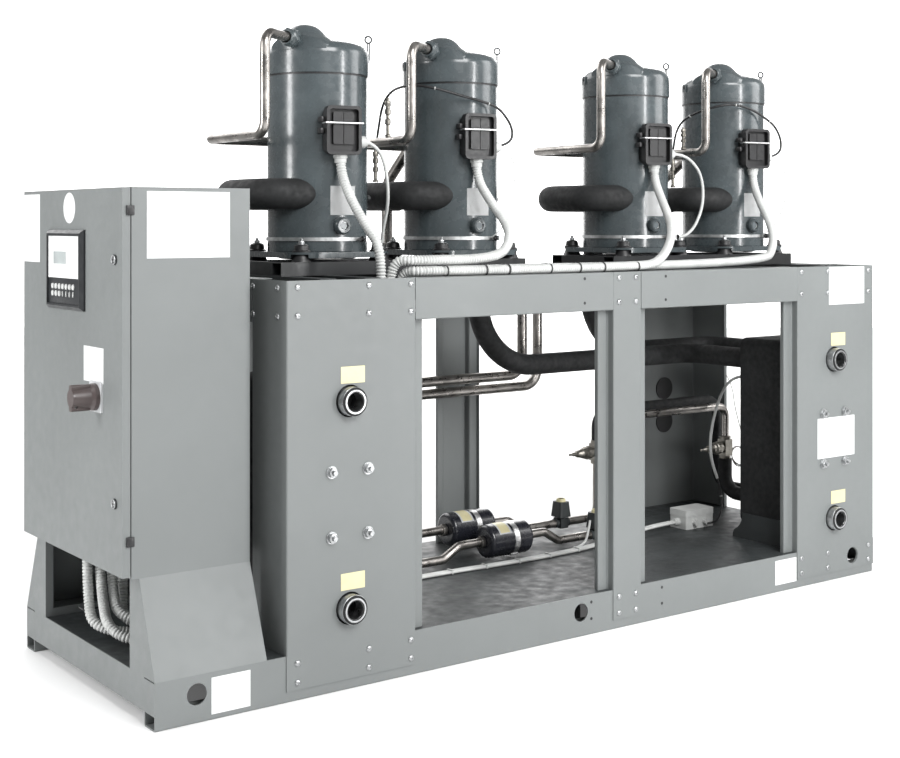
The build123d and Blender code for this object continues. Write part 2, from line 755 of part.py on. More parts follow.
def isolator_handle():
    """Tapered knob with a grip bar and a lock hole, on a shaft through the door."""
    outline = Polyline((0, 0), (34, 0), (34, 10), (27, 18), (22, 64), (0, 64), close=True)
    knob = revolve(make_face(Plane.XZ * outline), Axis.Z)
    knob = Pos(door_outer - 5.5, handle_y, handle_z) * Rot(0, -90, 0) * knob
    grip = block(door_outer - 69.5, door_outer - 20, handle_y - 9, handle_y + 9,
                 handle_z - 33, handle_z + 33)
    knob += fillet(grip.edges().filter_by(Axis.X), 6)
    knob -= rod((door_outer - 58, handle_y - 20, handle_z - 22), (0, 1, 0), 4, 40)
    return knob + rod((door_outer - 6, handle_y, handle_z), (1, 0, 0), 9, 20)


def door_lock(z):
    """Quarter-turn lock: rosette outside, stem and cam behind the door."""
    y = cabinet_y0 + 45
    lock = Pos(door_outer, y, z) * Rot(0, -90, 0) * Cylinder(
        13, 5, align=(Align.CENTER, Align.CENTER, Align.MIN))
    return fillet(lock.edges().sort_by(Axis.X)[0], 3)


def cabinet_support():
    """Wedge-shaped folded box, open with a lip on its inner side."""
    z0, z1 = base_height, cabinet_z0
    wedge = make_face(Plane.YZ * Polyline((0, z0), (146, z0), (146, z1), (90, z1), close=True))
    shell = extrude(wedge, cabinet_x1)
    hollow = make_face(Plane.YZ * Polyline((5, z0 + sheet), (143.5, z0 + sheet),
                                           (143.5, z1 - sheet), (92, z1 - sheet), close=True))
    shell -= Pos(sheet, 0, 0) * extrude(hollow, cabinet_x1 - 2 * sheet)
    return shell - block(22, cabinet_x1 - 22, 140, 150, z0 + 22, z1 - 22)


save("cabinet_body", cabinet_body())
save("cabinet_door", cabinet_door())
save("cabinet_mounting_plate", mounting_plate())
save("display_panel", display_panel())
save("isolator_plate", isolator_plate())
save("isolator_handle", isolator_handle())
save("door_locks", group(door_lock(530), door_lock(1126)))
save("cabinet_support_front", cabinet_support())
save("cabinet_support_back", mirror_y(cabinet_support()))

# conduits, each a plain round line from a terminal box to the cabinet's floor
front_row_y = 18.0
back_row_y = 48.0
row_z = deck_top + conduit_d / 2 + 1
floor_z = base_height + conduit_d / 2 + 1
box_floor = terminal_box_z - terminal_box_size[2] / 2 - 0.3
cabinet_floor = cabinet_z0 - 0.5


def conduit(terminal, beam_run, riser, cabinet_end):
    """Down the shell, along the top beam, down behind the panel and into the cabinet."""
    return tube(terminal + beam_run + riser + cabinet_end, conduit_d, 25)


conduit_1 = conduit(
    [(686, 268, box_floor), (686, 268, 1360), (682, 205, 1280), (694, 150, 1210), (704, 88, 1150)],
    [],
    [(704, 88, 985), (704, 322, 985), (704, 322, floor_z)],
    [(340, 322, floor_z), (10, 400, floor_z), (30, 490, 240), (30, 490, cabinet_floor)],
)
conduit_2 = conduit(
    [(1168, 268, box_floor), (1168, 268, 1352), (1164, 200, 1284), (1166, 115, 1210),
     (1140, 70, 1160), (1060, 33, row_z + 30)],
    [(790, 33, row_z + 30)],
    [(736, 88, row_z + 30), (736, 88, 985), (736, 262, 985), (736, 262, floor_z)],
    [(340, 262, floor_z), (10, 285, floor_z), (65, 490, 250), (65, 490, cabinet_floor)],
)
conduit_3 = conduit(
    [(1908, 268, box_floor), (1908, 268, 1362), (1877, 200, 1291), (1842, 118, 1209),
     (1775, 60, 1146), (1680, front_row_y, row_z + 8)],
    [(1600, front_row_y, row_z), (800, front_row_y, row_z)],
    [(768, 88, row_z), (768, 88, 985), (768, 292, 985), (768, 292, floor_z + 30)],
    [(340, 292, floor_z + 30), (60, 350, floor_z + 30), (98, 490, 260), (98, 490, cabinet_floor)],
)
conduit_4 = conduit(
    [(2388, 268, box_floor), (2388, 268, 1355), (2354, 200, 1278), (2322, 125, 1209),
     (2278, 75, 1135), (2200, back_row_y, row_z)],
    [(850, back_row_y, row_z)],
    [(800, 88, row_z), (800, 88, 985), (800, 362, 985), (800, 362, floor_z)],
    [(340, 362, floor_z), (98, 425, floor_z), (132, 490, 250), (132, 490, cabinet_floor)],
)
for number, line in enumerate((conduit_1, conduit_2, conduit_3, conduit_4), 1):
    save(f"power_conduit_{number}", line)


def floor_cables():
    """Two cables side by side from the cabinet to the junction box, one with a branch to a coil."""
    z = base_height + floor_cable_d / 2 + 1
    gland_z = base_height + 24
    cables = []
    for dy in (-6.5, 6.5):
        points = [
            (190, 430 + dy, cabinet_floor), (190, 430 + dy, 240), (230, 430 + dy, z),
            (1150, 457 + dy, z), (1440, 430 + dy, z), (1835, 450 + dy, z),
            (2100, 508 + dy, gland_z), (2239.5, 508 + dy, gland_z),
        ]
        cables.append(tube(points, floor_cable_d, 30))
    x, y, coil_z = front_solenoid
    branch = [(1640, 446.6, z), (1700, 449.6, z), (1790, 476, z + 6), (1826, 502, z + 40),
              (x - 27.5, y, coil_z + 48)]
    return group(cables[0], cables[1] + tube(branch, 8, 22))


save("floor_cable", floor_cables())

# pressure taps on the branches of compressors 2 and 4, their hoses and the thin cables
suction_tap_z = suction_z + suction_branch_d / 2 + 0.3
discharge_tap_z = discharge_z + discharge_d / 2 + 0.3
suction_taps = ((985, 544), (2205, 478))
discharge_taps = ((920, 378, 1588), (2140, 362, 1547))
tap_top = 1445.0


def tap(x, y, z0, z1):
    """Thin riser with a six-sided body near its top."""
    riser = rod((x, y, z0), (0, 0, 1), 6, z1 - z0)
    return riser + Pos(x, y, z1 - 34) * extrude(RegularPolygon(12, 6), 26)


hose_2 = [
    (1258, 263, 1452), (1298, 262, 1462), (1306, 266, 1506), (1274, 268, 1549),
    (1243, 270, 1572), (1173, 270, 1587), (1111, 270, 1597), (1040, 270, 1611),
    (990, 320, 1626), (979, 400, 1626), (988, 470, 1614), (993, 520, 1577),
    (992, 538, 1505), (985, 544, tap_top + 1),
]
hose_4 = [
    (2478, 263, 1452), (2524, 262, 1462), (2537, 266, 1510), (2506, 268, 1560),
    (2452, 270, 1589), (2396, 270, 1612), (2332, 270, 1625), (2265, 270, 1628),
    (2222, 320, 1614), (2208, 395, 1594), (2209, 450, 1566), (2204, 472, 1508),
    (2205, 478, tap_top + 1),
]
cable_1 = [
    (776, 267, 1446), (812, 276, 1436), (843, 285, 1400), (858, 290, 1350), (868, 298, 1300),
    (880, 322, 1252), (886, 350, 1206), (893, 370, 1155), (893, 385, 1108), (870, 390, 1074),
]
cable_3 = [
    (1998, 267, 1446), (2036, 270, 1447), (2087, 272, 1428), (2134, 275, 1387),
    (2149, 275, 1326), (2142, 275, 1265), (2103, 270, 1204), (2066, 272, 1176),
    (2045, 282, 1168), (2024.5, 288, 1170),
]
heater_wire_2 = [
    (1258, 263, 1440), (1298, 262, 1424), (1313, 262, 1380), (1309, 262, 1330),
    (1287, 255, 1255), (1252, 246, 1195), (1236, 284, 1172),
]
heater_wire_4 = [
    (2478, 263, 1440), (2524, 262, 1428), (2560, 262, 1385), (2558, 260, 1320),
    (2530, 258, 1258), (2482, 250, 1204), (2464, 287, 1176),
]
save("control_lines", group(
    *[tap(x, y, suction_tap_z, tap_top) for x, y in suction_taps],
    *[tap(x, y, discharge_tap_z, top) for x, y, top in discharge_taps],
    tube(hose_2, hose_d), tube(hose_4, hose_d),
    tube(cable_1, sensor_cable_d), tube(cable_3, sensor_cable_d),
    tube(heater_wire_2, heater_wire_d), tube(heater_wire_4, heater_wire_d),
))

for name, shape in nodes.items():
    shape.label = name
    export_step(shape, f"parts/{name}.step")
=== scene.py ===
import json
import math

import bmesh
import bpy
from bpy.props import FloatProperty, FloatVectorProperty, IntProperty, PointerProperty
from mathutils import Matrix, Vector


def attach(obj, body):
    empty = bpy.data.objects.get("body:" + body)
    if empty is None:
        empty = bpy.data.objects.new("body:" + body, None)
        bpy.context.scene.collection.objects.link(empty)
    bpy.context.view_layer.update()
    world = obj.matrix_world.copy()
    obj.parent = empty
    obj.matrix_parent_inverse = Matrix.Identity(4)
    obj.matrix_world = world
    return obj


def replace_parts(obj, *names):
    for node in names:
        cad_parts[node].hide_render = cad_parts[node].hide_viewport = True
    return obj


bl_info = {
    "name": "Water Chiller",
    "version": (1, 0, 0),
    "blender": (4, 5, 0),
    "location": "View3D > Sidebar > Chiller",
    "description": "Dresses the packed water chiller with its finishes, conduits and small parts",
    "category": "Add Mesh",
}

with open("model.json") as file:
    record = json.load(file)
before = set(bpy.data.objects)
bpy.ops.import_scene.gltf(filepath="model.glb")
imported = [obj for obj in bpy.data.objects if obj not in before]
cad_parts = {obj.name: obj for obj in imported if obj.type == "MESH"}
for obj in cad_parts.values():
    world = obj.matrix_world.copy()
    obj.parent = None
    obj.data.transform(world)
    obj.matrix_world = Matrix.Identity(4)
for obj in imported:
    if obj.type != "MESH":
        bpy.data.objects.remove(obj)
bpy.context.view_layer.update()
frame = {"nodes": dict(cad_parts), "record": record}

# Sizes below are millimetres from the base's front left corner at ground level, as the
# solids were drawn; place() turns them into the frame's metres.
BASE_LENGTH = 2700
BASE_WIDTH = 860
PANEL_FRONT = -2.5
PANEL_END = 358
DOOR_FRONT = -43
COMPRESSOR_X = (708, 1190, 1930, 2410)
COMPRESSOR_Y = 430
SHELL_R = 145
STUB_Z = 1735
STUB_WAY = Vector((-0.84, -0.545, 0)).normalized()
PORT_X = (547, 2492)
PORT_Z = (212, 752)
STUD_Z = (402, 571)
STUD_DX = 56
SLEEVE_FRONT = -32.2

# Fastener heads: columns along the base, and rows on the top and the bottom beams
FRONT_COLUMNS = (390, 606, 740, 1499, 1568, 2325, 2460, 2676)
BACK_COLUMNS = (390, 606, 740, 1479, 1548, 2325, 2460, 2676)
BEAM_ROWS = (1052, 979, 96, 47)
END_COLUMNS = (44, 175, 685, 816)
END_ROWS = (1050, 977)
HEAD_HEIGHT = 4.2
# Small open holes of the top beam and of the base beam, drawn as black discs of painted shade:
# columns, rows and plane
OPEN_HOLES = (((1362, 1694), (1052, 980), PANEL_FRONT), ((1390, 1680), (96, 47), 0))
HOLE_R = 4.6

# Blank labels: left, right, bottom and top, and the plane that they are stuck on
FRAME_LABELS = (
    ((2466, 2653, 938, 1066), PANEL_FRONT), ((2407, 2600, 419, 555), PANEL_FRONT),
    ((2198, 2302, 24, 104), 0), ((149, 256, 14, 104), 0),
)
CABINET_SIDE = 90
CABINET_LABEL = (20, 246, 1129, 1294)
PORT_PLATES = ((556, 2514), (282, 820))
PORT_PLATE_HALF = (37, 22)
# On the door: front edge, back edge, bottom and top
DOOR_LABELS = ((642, 762, 1109, 1294), (206, 332, 815, 904))
ROUND_LABEL = (430, 1255)
ROUND_LABEL_R = 40
DISPLAY_FACE = (338, 550, 1072, 1182)
DISPLAY_WINDOW = (427, 510, 1109, 1141)
DISPLAY_KEYPAD = (338, 550, 1006, 1070)
DISPLAY_FRONT = DOOR_FRONT - 10
KEY_COLUMNS = 7
KEY_START = 517
KEY_STEP = 23.6
KEY_ROWS = (1050, 1031)
DOOR_GAP_BLOCKS = (442, 1247)

# Heights on the compressors
CUP_Z = 1134.1
STRAP_Z = 1170
GLASS_Z = 1208
PLATE_Z = 1280
FITTING_Z = 1290
# Height of the black band of painted shadow under each cap's skirt
CAP_SHADOW_Z = 1637
LUG_Z = 1694
EYE_Z = 1755
# From a compressor's axis to its feet and to its lifting lug, and the size of its plate
FOOT_HALF = 128.5
LUG_R = 152
PLATE_HALF_ANGLE = 16.4
PLATE_HEIGHT = 82

FRONT = Vector((0, -1, 0))
BACK = Vector((0, 1, 0))
LEFT = Vector((-1, 0, 0))
RIGHT = Vector((1, 0, 0))
UP = Vector((0, 0, 1))


def place(x, y, z):
    """A point of the drawing, in the frame's metres."""
    return Vector(((x - BASE_LENGTH / 2) / 1000, (y - BASE_WIDTH / 2) / 1000, z / 1000))


def aim(point, direction, turn=0.0):
    """A matrix at a point of the drawing whose Z runs along a direction."""
    facing = Vector(direction).to_track_quat("Z", "Y").to_matrix().to_4x4()
    return Matrix.Translation(place(*point)) @ facing @ Matrix.Rotation(turn, 4, "Z")


# Finishes

# Those that fall under another of the record's slots
# Nodes whose finish isn't their slot's plain one
NODE_FINISH = {
    "filter_drier_1": "drier_paint", "filter_drier_2": "drier_paint",
    "heater_bands": "heater_strap", "isolator_plate": "label_silver",
    "expansion_valves": "valve_metal",
}
materials = {}


class Finish:
    """A material's node tree, with short calls for the nodes used here."""

    def __init__(self, name, color, roughness, metallic=0.0):
        self.material = bpy.data.materials.new(name)
        self.material.use_nodes = True
        self.nodes = self.material.node_tree.nodes
        self.links = self.material.node_tree.links
        self.shader = self.nodes["Principled BSDF"]
        self.shader.inputs["Base Color"].default_value = (*color, 1)
        self.shader.inputs["Roughness"].default_value = roughness
        self.shader.inputs["Metallic"].default_value = metallic
        self.coordinates = self.nodes.new("ShaderNodeTexCoord").outputs["Object"]
        self.height = None
        self.material.diffuse_color = (*color, 1)

    def noise(self, scale, detail):
        """Soft noise on the piece's own coordinates, so many waves to the metre."""
        texture = self.nodes.new("ShaderNodeTexNoise")
        texture.inputs["Scale"].default_value = scale
        texture.inputs["Detail"].default_value = detail
        self.links.new(self.coordinates, texture.inputs["Vector"])
        return texture.outputs["Fac"]

    def spread(self, value, low, high, to_low, to_high):
        """A value's range low to high turned into another range."""
        node = self.nodes.new("ShaderNodeMapRange")
        node.inputs["From Min"].default_value = low
        node.inputs["From Max"].default_value = high
        node.inputs["To Min"].default_value = to_low
        node.inputs["To Max"].default_value = to_high
        self.links.new(value, node.inputs["Value"])
        return node.outputs["Result"]

    def tint(self, value, low, high):
        """Base colour from one tone to another, as a value goes from 0 to 1."""
        ramp = self.nodes.new("ShaderNodeValToRGB")
        ramp.color_ramp.elements[0].position = 0.35
        ramp.color_ramp.elements[0].color = (*low, 1)
        ramp.color_ramp.elements[1].position = 0.65
        ramp.color_ramp.elements[1].color = (*high, 1)
        self.links.new(value, ramp.inputs["Fac"])
        self.links.new(ramp.outputs["Color"], self.shader.inputs["Base Color"])
        return self

    def rough(self, value, low, high):
        """Roughness between two values, as a value goes from 0.3 to 0.7."""
        self.links.new(self.spread(value, 0.3, 0.7, low, high), self.shader.inputs["Roughness"])
        return self

    def bump(self, value, strength, depth):
        """Relief of so many metres, over the relief that is already there."""
        node = self.nodes.new("ShaderNodeBump")
        node.inputs["Strength"].default_value = strength
        node.inputs["Distance"].default_value = depth
        self.links.new(value, node.inputs["Height"])
        if self.height:
            self.links.new(self.height, node.inputs["Normal"])
        self.height = node.outputs["Normal"]
        self.links.new(self.height, self.shader.inputs["Normal"])
        return self

    def glow(self, color, strength):
        """A colour that the surface gives off by itself."""
        self.shader.inputs["Emission Color"].default_value = (*color, 1)
        self.shader.inputs["Emission Strength"].default_value = strength
        return self


def shade(color, factor):
    """A colour made darker or lighter."""
    return tuple(min(1.0, c * factor) for c in color)


def powder_coat(name, color):
    """Fine textured powder coat: even colour, tiny orange peel, satin."""
    finish = Finish(name, color, 0.5)
    finish.tint(finish.noise(1.6, 3), shade(color, 0.93), shade(color, 1.05))
    finish.rough(finish.noise(30, 3), 0.42, 0.55)
    finish.bump(finish.noise(700, 2), 0.35, 0.0006)
    return finish.material


def gloss_paint(name, color):
    """Thick gloss enamel over steel, with soft waves and specks."""
    finish = Finish(name, color, 0.24)
    finish.shader.inputs["Coat Weight"].default_value = 0.35
    finish.shader.inputs["Coat Roughness"].default_value = 0.12
    finish.tint(finish.noise(9, 5), shade(color, 0.85), shade(color, 1.12))
    finish.rough(finish.noise(40, 4), 0.2, 0.34)
    finish.bump(finish.noise(22, 2), 0.12, 0.002)
    finish.bump(finish.noise(380, 2), 0.1, 0.0004)
    return finish.material


def satin_steel(name, color, roughness=0.42):
    """Painted structural steel in a dark satin tone."""
    finish = Finish(name, color, roughness)
    finish.tint(finish.noise(7, 5), shade(color, 0.75), shade(color, 1.3))
    finish.rough(finish.noise(26, 4), roughness - 0.08, roughness + 0.14)
    finish.bump(finish.noise(420, 3), 0.25, 0.0005)
    return finish.material


def foam(name, color):
    """Closed-cell insulation: matte skin with shallow dents and pores."""
    finish = Finish(name, color, 0.78)
    finish.tint(finish.noise(12, 5), shade(color, 0.7), shade(color, 1.5))
    finish.rough(finish.noise(60, 4), 0.62, 0.85)
    finish.bump(finish.noise(18, 3), 0.35, 0.004)
    finish.bump(finish.noise(900, 2), 0.3, 0.0005)
    return finish.material


def drawn_pipe(name, color):
    """Drawn pipe with heat bloom and fine scuffs."""
    finish = Finish(name, color, 0.3, 1.0)
    finish.tint(finish.noise(14, 6), shade(color, 0.65), shade(color, 1.1))
    finish.rough(finish.noise(35, 5), 0.2, 0.45)
    finish.bump(finish.noise(260, 4), 0.15, 0.0004)
    return finish.material


def bright_metal(name, color, roughness=0.28):
    """Zinc plated or turned metal with light scuffs."""
    finish = Finish(name, color, roughness, 1.0)
    finish.tint(finish.noise(60, 5), shade(color, 0.8), shade(color, 1.1))
    finish.rough(finish.noise(90, 4), roughness - 0.08, roughness + 0.12)
    finish.bump(finish.noise(500, 3), 0.15, 0.0002)
    return finish.material


def moulded(name, color, roughness=0.5, grain=600):
    """Moulded plastic with a fine spark-eroded grain."""
    finish = Finish(name, color, roughness)
    finish.tint(finish.noise(20, 4), shade(color, 0.9), shade(color, 1.08))
    finish.rough(finish.noise(80, 3), roughness - 0.07, roughness + 0.08)
    finish.bump(finish.noise(grain, 2), 0.25, 0.0003)
    return finish.material


def label_stock(name, color):
    """Printed-label film left blank: faint gloss, a little dust."""
    finish = Finish(name, color, 0.38)
    finish.tint(finish.noise(45, 6), shade(color, 0.95), shade(color, 1.03))
    finish.bump(finish.noise(120, 3), 0.08, 0.0004)
    return finish.material


def lit_glass(name, color):
    """Display window: smooth, with a faint glow."""
    finish = Finish(name, color, 0.12)
    finish.tint(finish.noise(30, 2), shade(color, 0.94), shade(color, 1.04))
    finish.glow(color, 0.15)
    return finish.material


# Shapes


def disc(bm, matrix, radius, height, top=None, segments=28):
    """A cylinder or cone standing on a matrix's origin."""
    made = bmesh.ops.create_cone(
        bm, cap_ends=True, cap_tris=False, segments=segments, radius1=radius / 1000,
        radius2=(radius if top is None else top) / 1000, depth=height / 1000,
        matrix=matrix @ Matrix.Translation((0, 0, height / 2000)),
    )
    return made["verts"]


def slab(bm, low, high, rounding=0.0, segments=2):
    """A box between two points of the drawing with its edges rounded."""
    a, b = place(*low), place(*high)
    size = b - a
    matrix = Matrix.Translation((a + b) / 2) @ Matrix.Diagonal((*size, 1))
    made = bmesh.ops.create_cube(bm, size=1, matrix=matrix)
    if rounding:
        round_edges(bm, made["verts"], rounding, segments)
    return made["verts"]


def turned_slab(bm, matrix, size, rounding=0.0, segments=2):
    """A box centred on a matrix, in millimetres."""
    scale = Matrix.Diagonal((size[0] / 1000, size[1] / 1000, size[2] / 1000, 1))
    made = bmesh.ops.create_cube(bm, size=1, matrix=matrix @ scale)
    if rounding:
        round_edges(bm, made["verts"], rounding, segments)
    return made["verts"]


def round_edges(bm, verts, amount, segments=2):
    """Bevels every edge among some vertices."""
    chosen = set(verts)
    edges = [e for e in bm.edges if e.verts[0] in chosen and e.verts[1] in chosen]
    bmesh.ops.bevel(
        bm, geom=edges, offset=amount / 1000, offset_type="OFFSET", affect="EDGES",
        segments=segments, profile=0.5, clamp_overlap=True, material=-1,
    )


def turned(bm, matrix, profile, segments=32):
    """Spins a profile of (radius, height) pairs round a matrix's Z."""
    verts = [bm.verts.new(matrix @ Vector((r / 1000, 0, h / 1000))) for r, h in profile]
    edges = [bm.edges.new(pair) for pair in zip(verts, verts[1:])]
    axis = (matrix.to_3x3() @ UP).normalized()
    bmesh.ops.spin(
        bm, geom=verts + edges, cent=matrix.translation, axis=axis, dvec=(0, 0, 0),
        angle=math.tau, steps=segments, use_merge=True, use_duplicate=False,
    )


def band(bm, matrix, inner, outer, low, high, segments):
    """A flat ring round a matrix's Z, between two radii and two heights."""
    turned(bm, matrix, [(inner, low), (outer, low), (outer, high), (inner, high), (inner, low)],
           segments)


def hexagon(bm, matrix, radius, height, rounding, segments=2):
    """A hexagonal nut or flat with its edges rounded."""
    round_edges(bm, disc(bm, matrix, radius, height, segments=6), rounding, segments)


def hex_bolt(bm, matrix, across, height):
    """Hexagon head, chamfered on top, over a plain washer."""
    disc(bm, matrix, across * 0.95, 1.4, top=across * 0.9, segments=20)
    lifted = matrix @ Matrix.Translation((0, 0, 0.0012))
    hexagon(bm, lifted, across * 0.577, height, 0.6, 1)
    disc(bm, lifted, across * 0.5, height + 0.4, top=across * 0.4, segments=18)


def dome_head(bm, matrix, radius, height):
    """Low round rivet head with a dimple."""
    turned(bm, matrix, [
        (radius, -0.5), (radius, 0.1), (radius * 0.93, height * 0.42),
        (radius * 0.72, height * 0.8), (radius * 0.42, height), (radius * 0.34, height),
        (radius * 0.26, height * 0.55), (0.001, height * 0.5),
    ], 16)


def finished(name, bm, finish, body="frame", smooth=35.0):
    """Turns a bmesh into a piece that rides on a body and wears a finish."""
    bmesh.ops.remove_doubles(bm, verts=bm.verts, dist=1e-6)
    bmesh.ops.recalc_face_normals(bm, faces=bm.faces)
    mesh = bpy.data.meshes.new(name)
    bm.to_mesh(mesh)
    bm.free()
    mesh.materials.append(materials[finish])
    piece = bpy.data.objects.new(name, mesh)
    bpy.context.collection.objects.link(piece)
    mesh.shade_smooth()
    mesh.set_sharp_from_angle(angle=math.radians(smooth))
    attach(piece, body)
    return piece


def route_curve(name, points):
    """A smooth spline of order 3 that has a route's points as its control points."""
    data = bpy.data.curves.new(name, "CURVE")
    data.dimensions = "3D"
    spline = data.splines.new("NURBS")
    spline.points.add(len(points) - 1)
    for point, where in zip(spline.points, points):
        point.co = (*place(*where), 1)
    spline.order_u = 3
    spline.use_endpoint_u = True
    spline.resolution_u = 12
    data.resolution_u = 12
    return data


def route_line(points):
    """The points of a route's smooth spline, for a tube to follow."""
    data = route_curve("route", points)
    holder = bpy.data.objects.new("route", data)
    mesh = bpy.data.meshes.new_from_object(holder)
    line = [v.co.copy() for v in mesh.vertices]
    bpy.data.objects.remove(holder)
    bpy.data.meshes.remove(mesh)
    bpy.data.curves.remove(data)
    return line


def stepped(line, step):
    """Points every step along a line, ends included, and the line's length."""
    lengths = [0.0]
    for a, b in zip(line, line[1:]):
        lengths.append(lengths[-1] + (b - a).length)
    count = max(2, round(lengths[-1] / step))
    found = []
    k = 0
    for i in range(count + 1):
        target = lengths[-1] * i / count
        while k < len(line) - 2 and lengths[k + 1] < target:
            k += 1
        share = (target - lengths[k]) / max(lengths[k + 1] - lengths[k], 1e-9)
        found.append(line[k].lerp(line[k + 1], share))
    return found, lengths[-1]


def ring_frames(points):
    """Matrices along a line whose Z follows it without twisting."""
    frames = []
    forward = (points[1] - points[0]).normalized()
    side = forward.orthogonal().normalized()
    for i, point in enumerate(points):
        ahead = points[min(i + 1, len(points) - 1)] - points[max(i - 1, 0)]
        if ahead.length > 1e-9:
            forward = ahead.normalized()
        side = (side - forward * side.dot(forward)).normalized()
        other = forward.cross(side)
        matrix = Matrix((side, other, forward)).transposed().to_4x4()
        matrix.translation = point
        frames.append(matrix)
    return frames


def tube(bm, frames, radii, segments):
    """A closed tube with a ring on each frame, as wide as its radius says."""
    # create_circle starts at Y, and the first corner belongs on X
    start = frames[0] @ Matrix.Rotation(math.radians(-90), 4, "Z")
    ring = bmesh.ops.create_circle(
        bm, cap_ends=False, segments=segments, radius=radii[0] / 1000, matrix=start,
    )["verts"]
    edges = list({e for v in ring for e in v.link_edges})
    bmesh.ops.contextual_create(bm, geom=edges)
    last = frames[0] @ Matrix.Scale(radii[0], 4)
    for matrix, radius in zip(frames[1:], radii[1:]):
        made = bmesh.ops.extrude_edge_only(bm, edges=edges)["geom"]
        verts = [g for g in made if isinstance(g, bmesh.types.BMVert)]
        edges = [g for g in made if isinstance(g, bmesh.types.BMEdge)]
        now = matrix @ Matrix.Scale(radius, 4)
        bmesh.ops.transform(bm, matrix=now @ last.inverted(), verts=verts)
        last = now
    bmesh.ops.contextual_create(bm, geom=edges)


def ribbed_tube(bm, line, outer, inner, pitch):
    """Corrugated conduit along a line, with flat ribs and narrow grooves."""
    path, length = stepped(line, pitch / 4000)
    rib = (outer, outer, (outer + inner) / 2, inner)
    tube(bm, ring_frames(path), [rib[i % len(rib)] for i in range(len(path))], 16)
    return path, length


def wire(bm, frames, radius, segments=10):
    """A round wire through some matrices."""
    tube(bm, frames, [radius] * len(frames), segments)


def torus(bm, matrix, radius, wire, segments=28, sides=10):
    """Closed ring of round wire whose axis is a matrix's Z."""
    profile = []
    for k in range(sides + 1):
        angle = math.tau * k / sides
        profile.append((radius + wire * math.cos(angle), wire * math.sin(angle)))
    turned(bm, matrix, profile, segments)


# Settings


class ChillerSizes(bpy.types.PropertyGroup):
    """Sizes that a user may change."""

    conduit: FloatProperty(
        name="Conduit", description="Outer diameter of the ribbed conduits",
        default=0.028, min=0.02, max=0.03, unit="LENGTH")
    rib_pitch: FloatProperty(
        name="Rib pitch", description="Distance between two ribs of a conduit",
        default=0.0088, min=0.004, max=0.01, unit="LENGTH")
    bolt_head: FloatProperty(
        name="Rivet head", description="Diameter of a panel's fastener heads",
        default=0.017, min=0.008, max=0.03, unit="LENGTH")
    tie_count: IntProperty(
        name="Ties", description="Black ties that hold the conduits on the top beam",
        default=7, min=2, max=12)


class ChillerColors(bpy.types.PropertyGroup):
    """Colours that a user may change."""

    frame_paint: FloatVectorProperty(
        name="Frame", description="Powder coat of frame and cabinet", subtype="COLOR",
        default=(0.158, 0.169, 0.168), min=0, max=1)
    shell_paint: FloatVectorProperty(
        name="Compressors", description="Gloss enamel of the compressors", subtype="COLOR",
        default=(0.053, 0.066, 0.071), min=0, max=1)
    conduit: FloatVectorProperty(
        name="Conduits", description="Plastic of the ribbed conduits", subtype="COLOR",
        default=(0.5, 0.51, 0.5), min=0, max=1)


# Routes of the conduits, point by point, as they lie

RIB_DEPTH = 3.0
ROW_Z = 1084
ROW_Y = (18, 48)
TIES_FROM, TIES_TO = 870, 1590
FLOOR_Z = 133
BOX_FLOOR = 1407.2
CABINET_FLOOR = 349.5
CONDUITS = (
    [(686, 268, BOX_FLOOR), (686, 268, 1360), (682, 205, 1280), (694, 150, 1210),
     (704, 88, 1150), (704, 88, 985), (704, 322, 985), (704, 322, FLOOR_Z),
     (340, 322, FLOOR_Z), (10, 400, FLOOR_Z), (30, 490, 240), (30, 490, CABINET_FLOOR)],
    [(1168, 268, BOX_FLOOR), (1168, 268, 1352), (1164, 200, 1284), (1166, 115, 1210),
     (1140, 70, 1160), (1060, 33, ROW_Z + 30), (790, 33, ROW_Z + 30),
     (736, 88, ROW_Z + 30), (736, 88, 985), (736, 262, 985), (736, 262, FLOOR_Z),
     (340, 262, FLOOR_Z), (10, 285, FLOOR_Z), (65, 490, 250), (65, 490, CABINET_FLOOR)],
    [(1908, 268, BOX_FLOOR), (1908, 268, 1362), (1877, 200, 1291), (1842, 118, 1209),
     (1775, 60, 1146), (1680, 18, ROW_Z + 8), (1600, 18, ROW_Z), (800, 18, ROW_Z),
     (768, 88, ROW_Z), (768, 88, 985), (768, 292, 985), (768, 292, FLOOR_Z + 30),
     (340, 292, FLOOR_Z + 30), (60, 350, FLOOR_Z + 30), (98, 490, 260),
     (98, 490, CABINET_FLOOR)],
    [(2388, 268, BOX_FLOOR), (2388, 268, 1355), (2354, 200, 1278), (2322, 125, 1209),
     (2278, 75, 1135), (2200, 48, ROW_Z), (850, 48, ROW_Z), (800, 88, ROW_Z),
     (800, 88, 985), (800, 362, 985), (800, 362, FLOOR_Z), (340, 362, FLOOR_Z),
     (98, 425, FLOOR_Z), (132, 490, 250), (132, 490, CABINET_FLOOR)],
)

# Routes of the hoses and thin cables at the compressors, point by point, as they hang

HOSE_D = 8
SENSOR_CABLE_D = 10
HEATER_WIRE_D = 4
FLOOR_CABLE_D = 11
FLOOR_CABLE_DY = {"front": -6.5, "back": 6.5}
COIL_CABLE_D = 8
PROBE_CABLE_D = 7
TAP_TOP = 1445
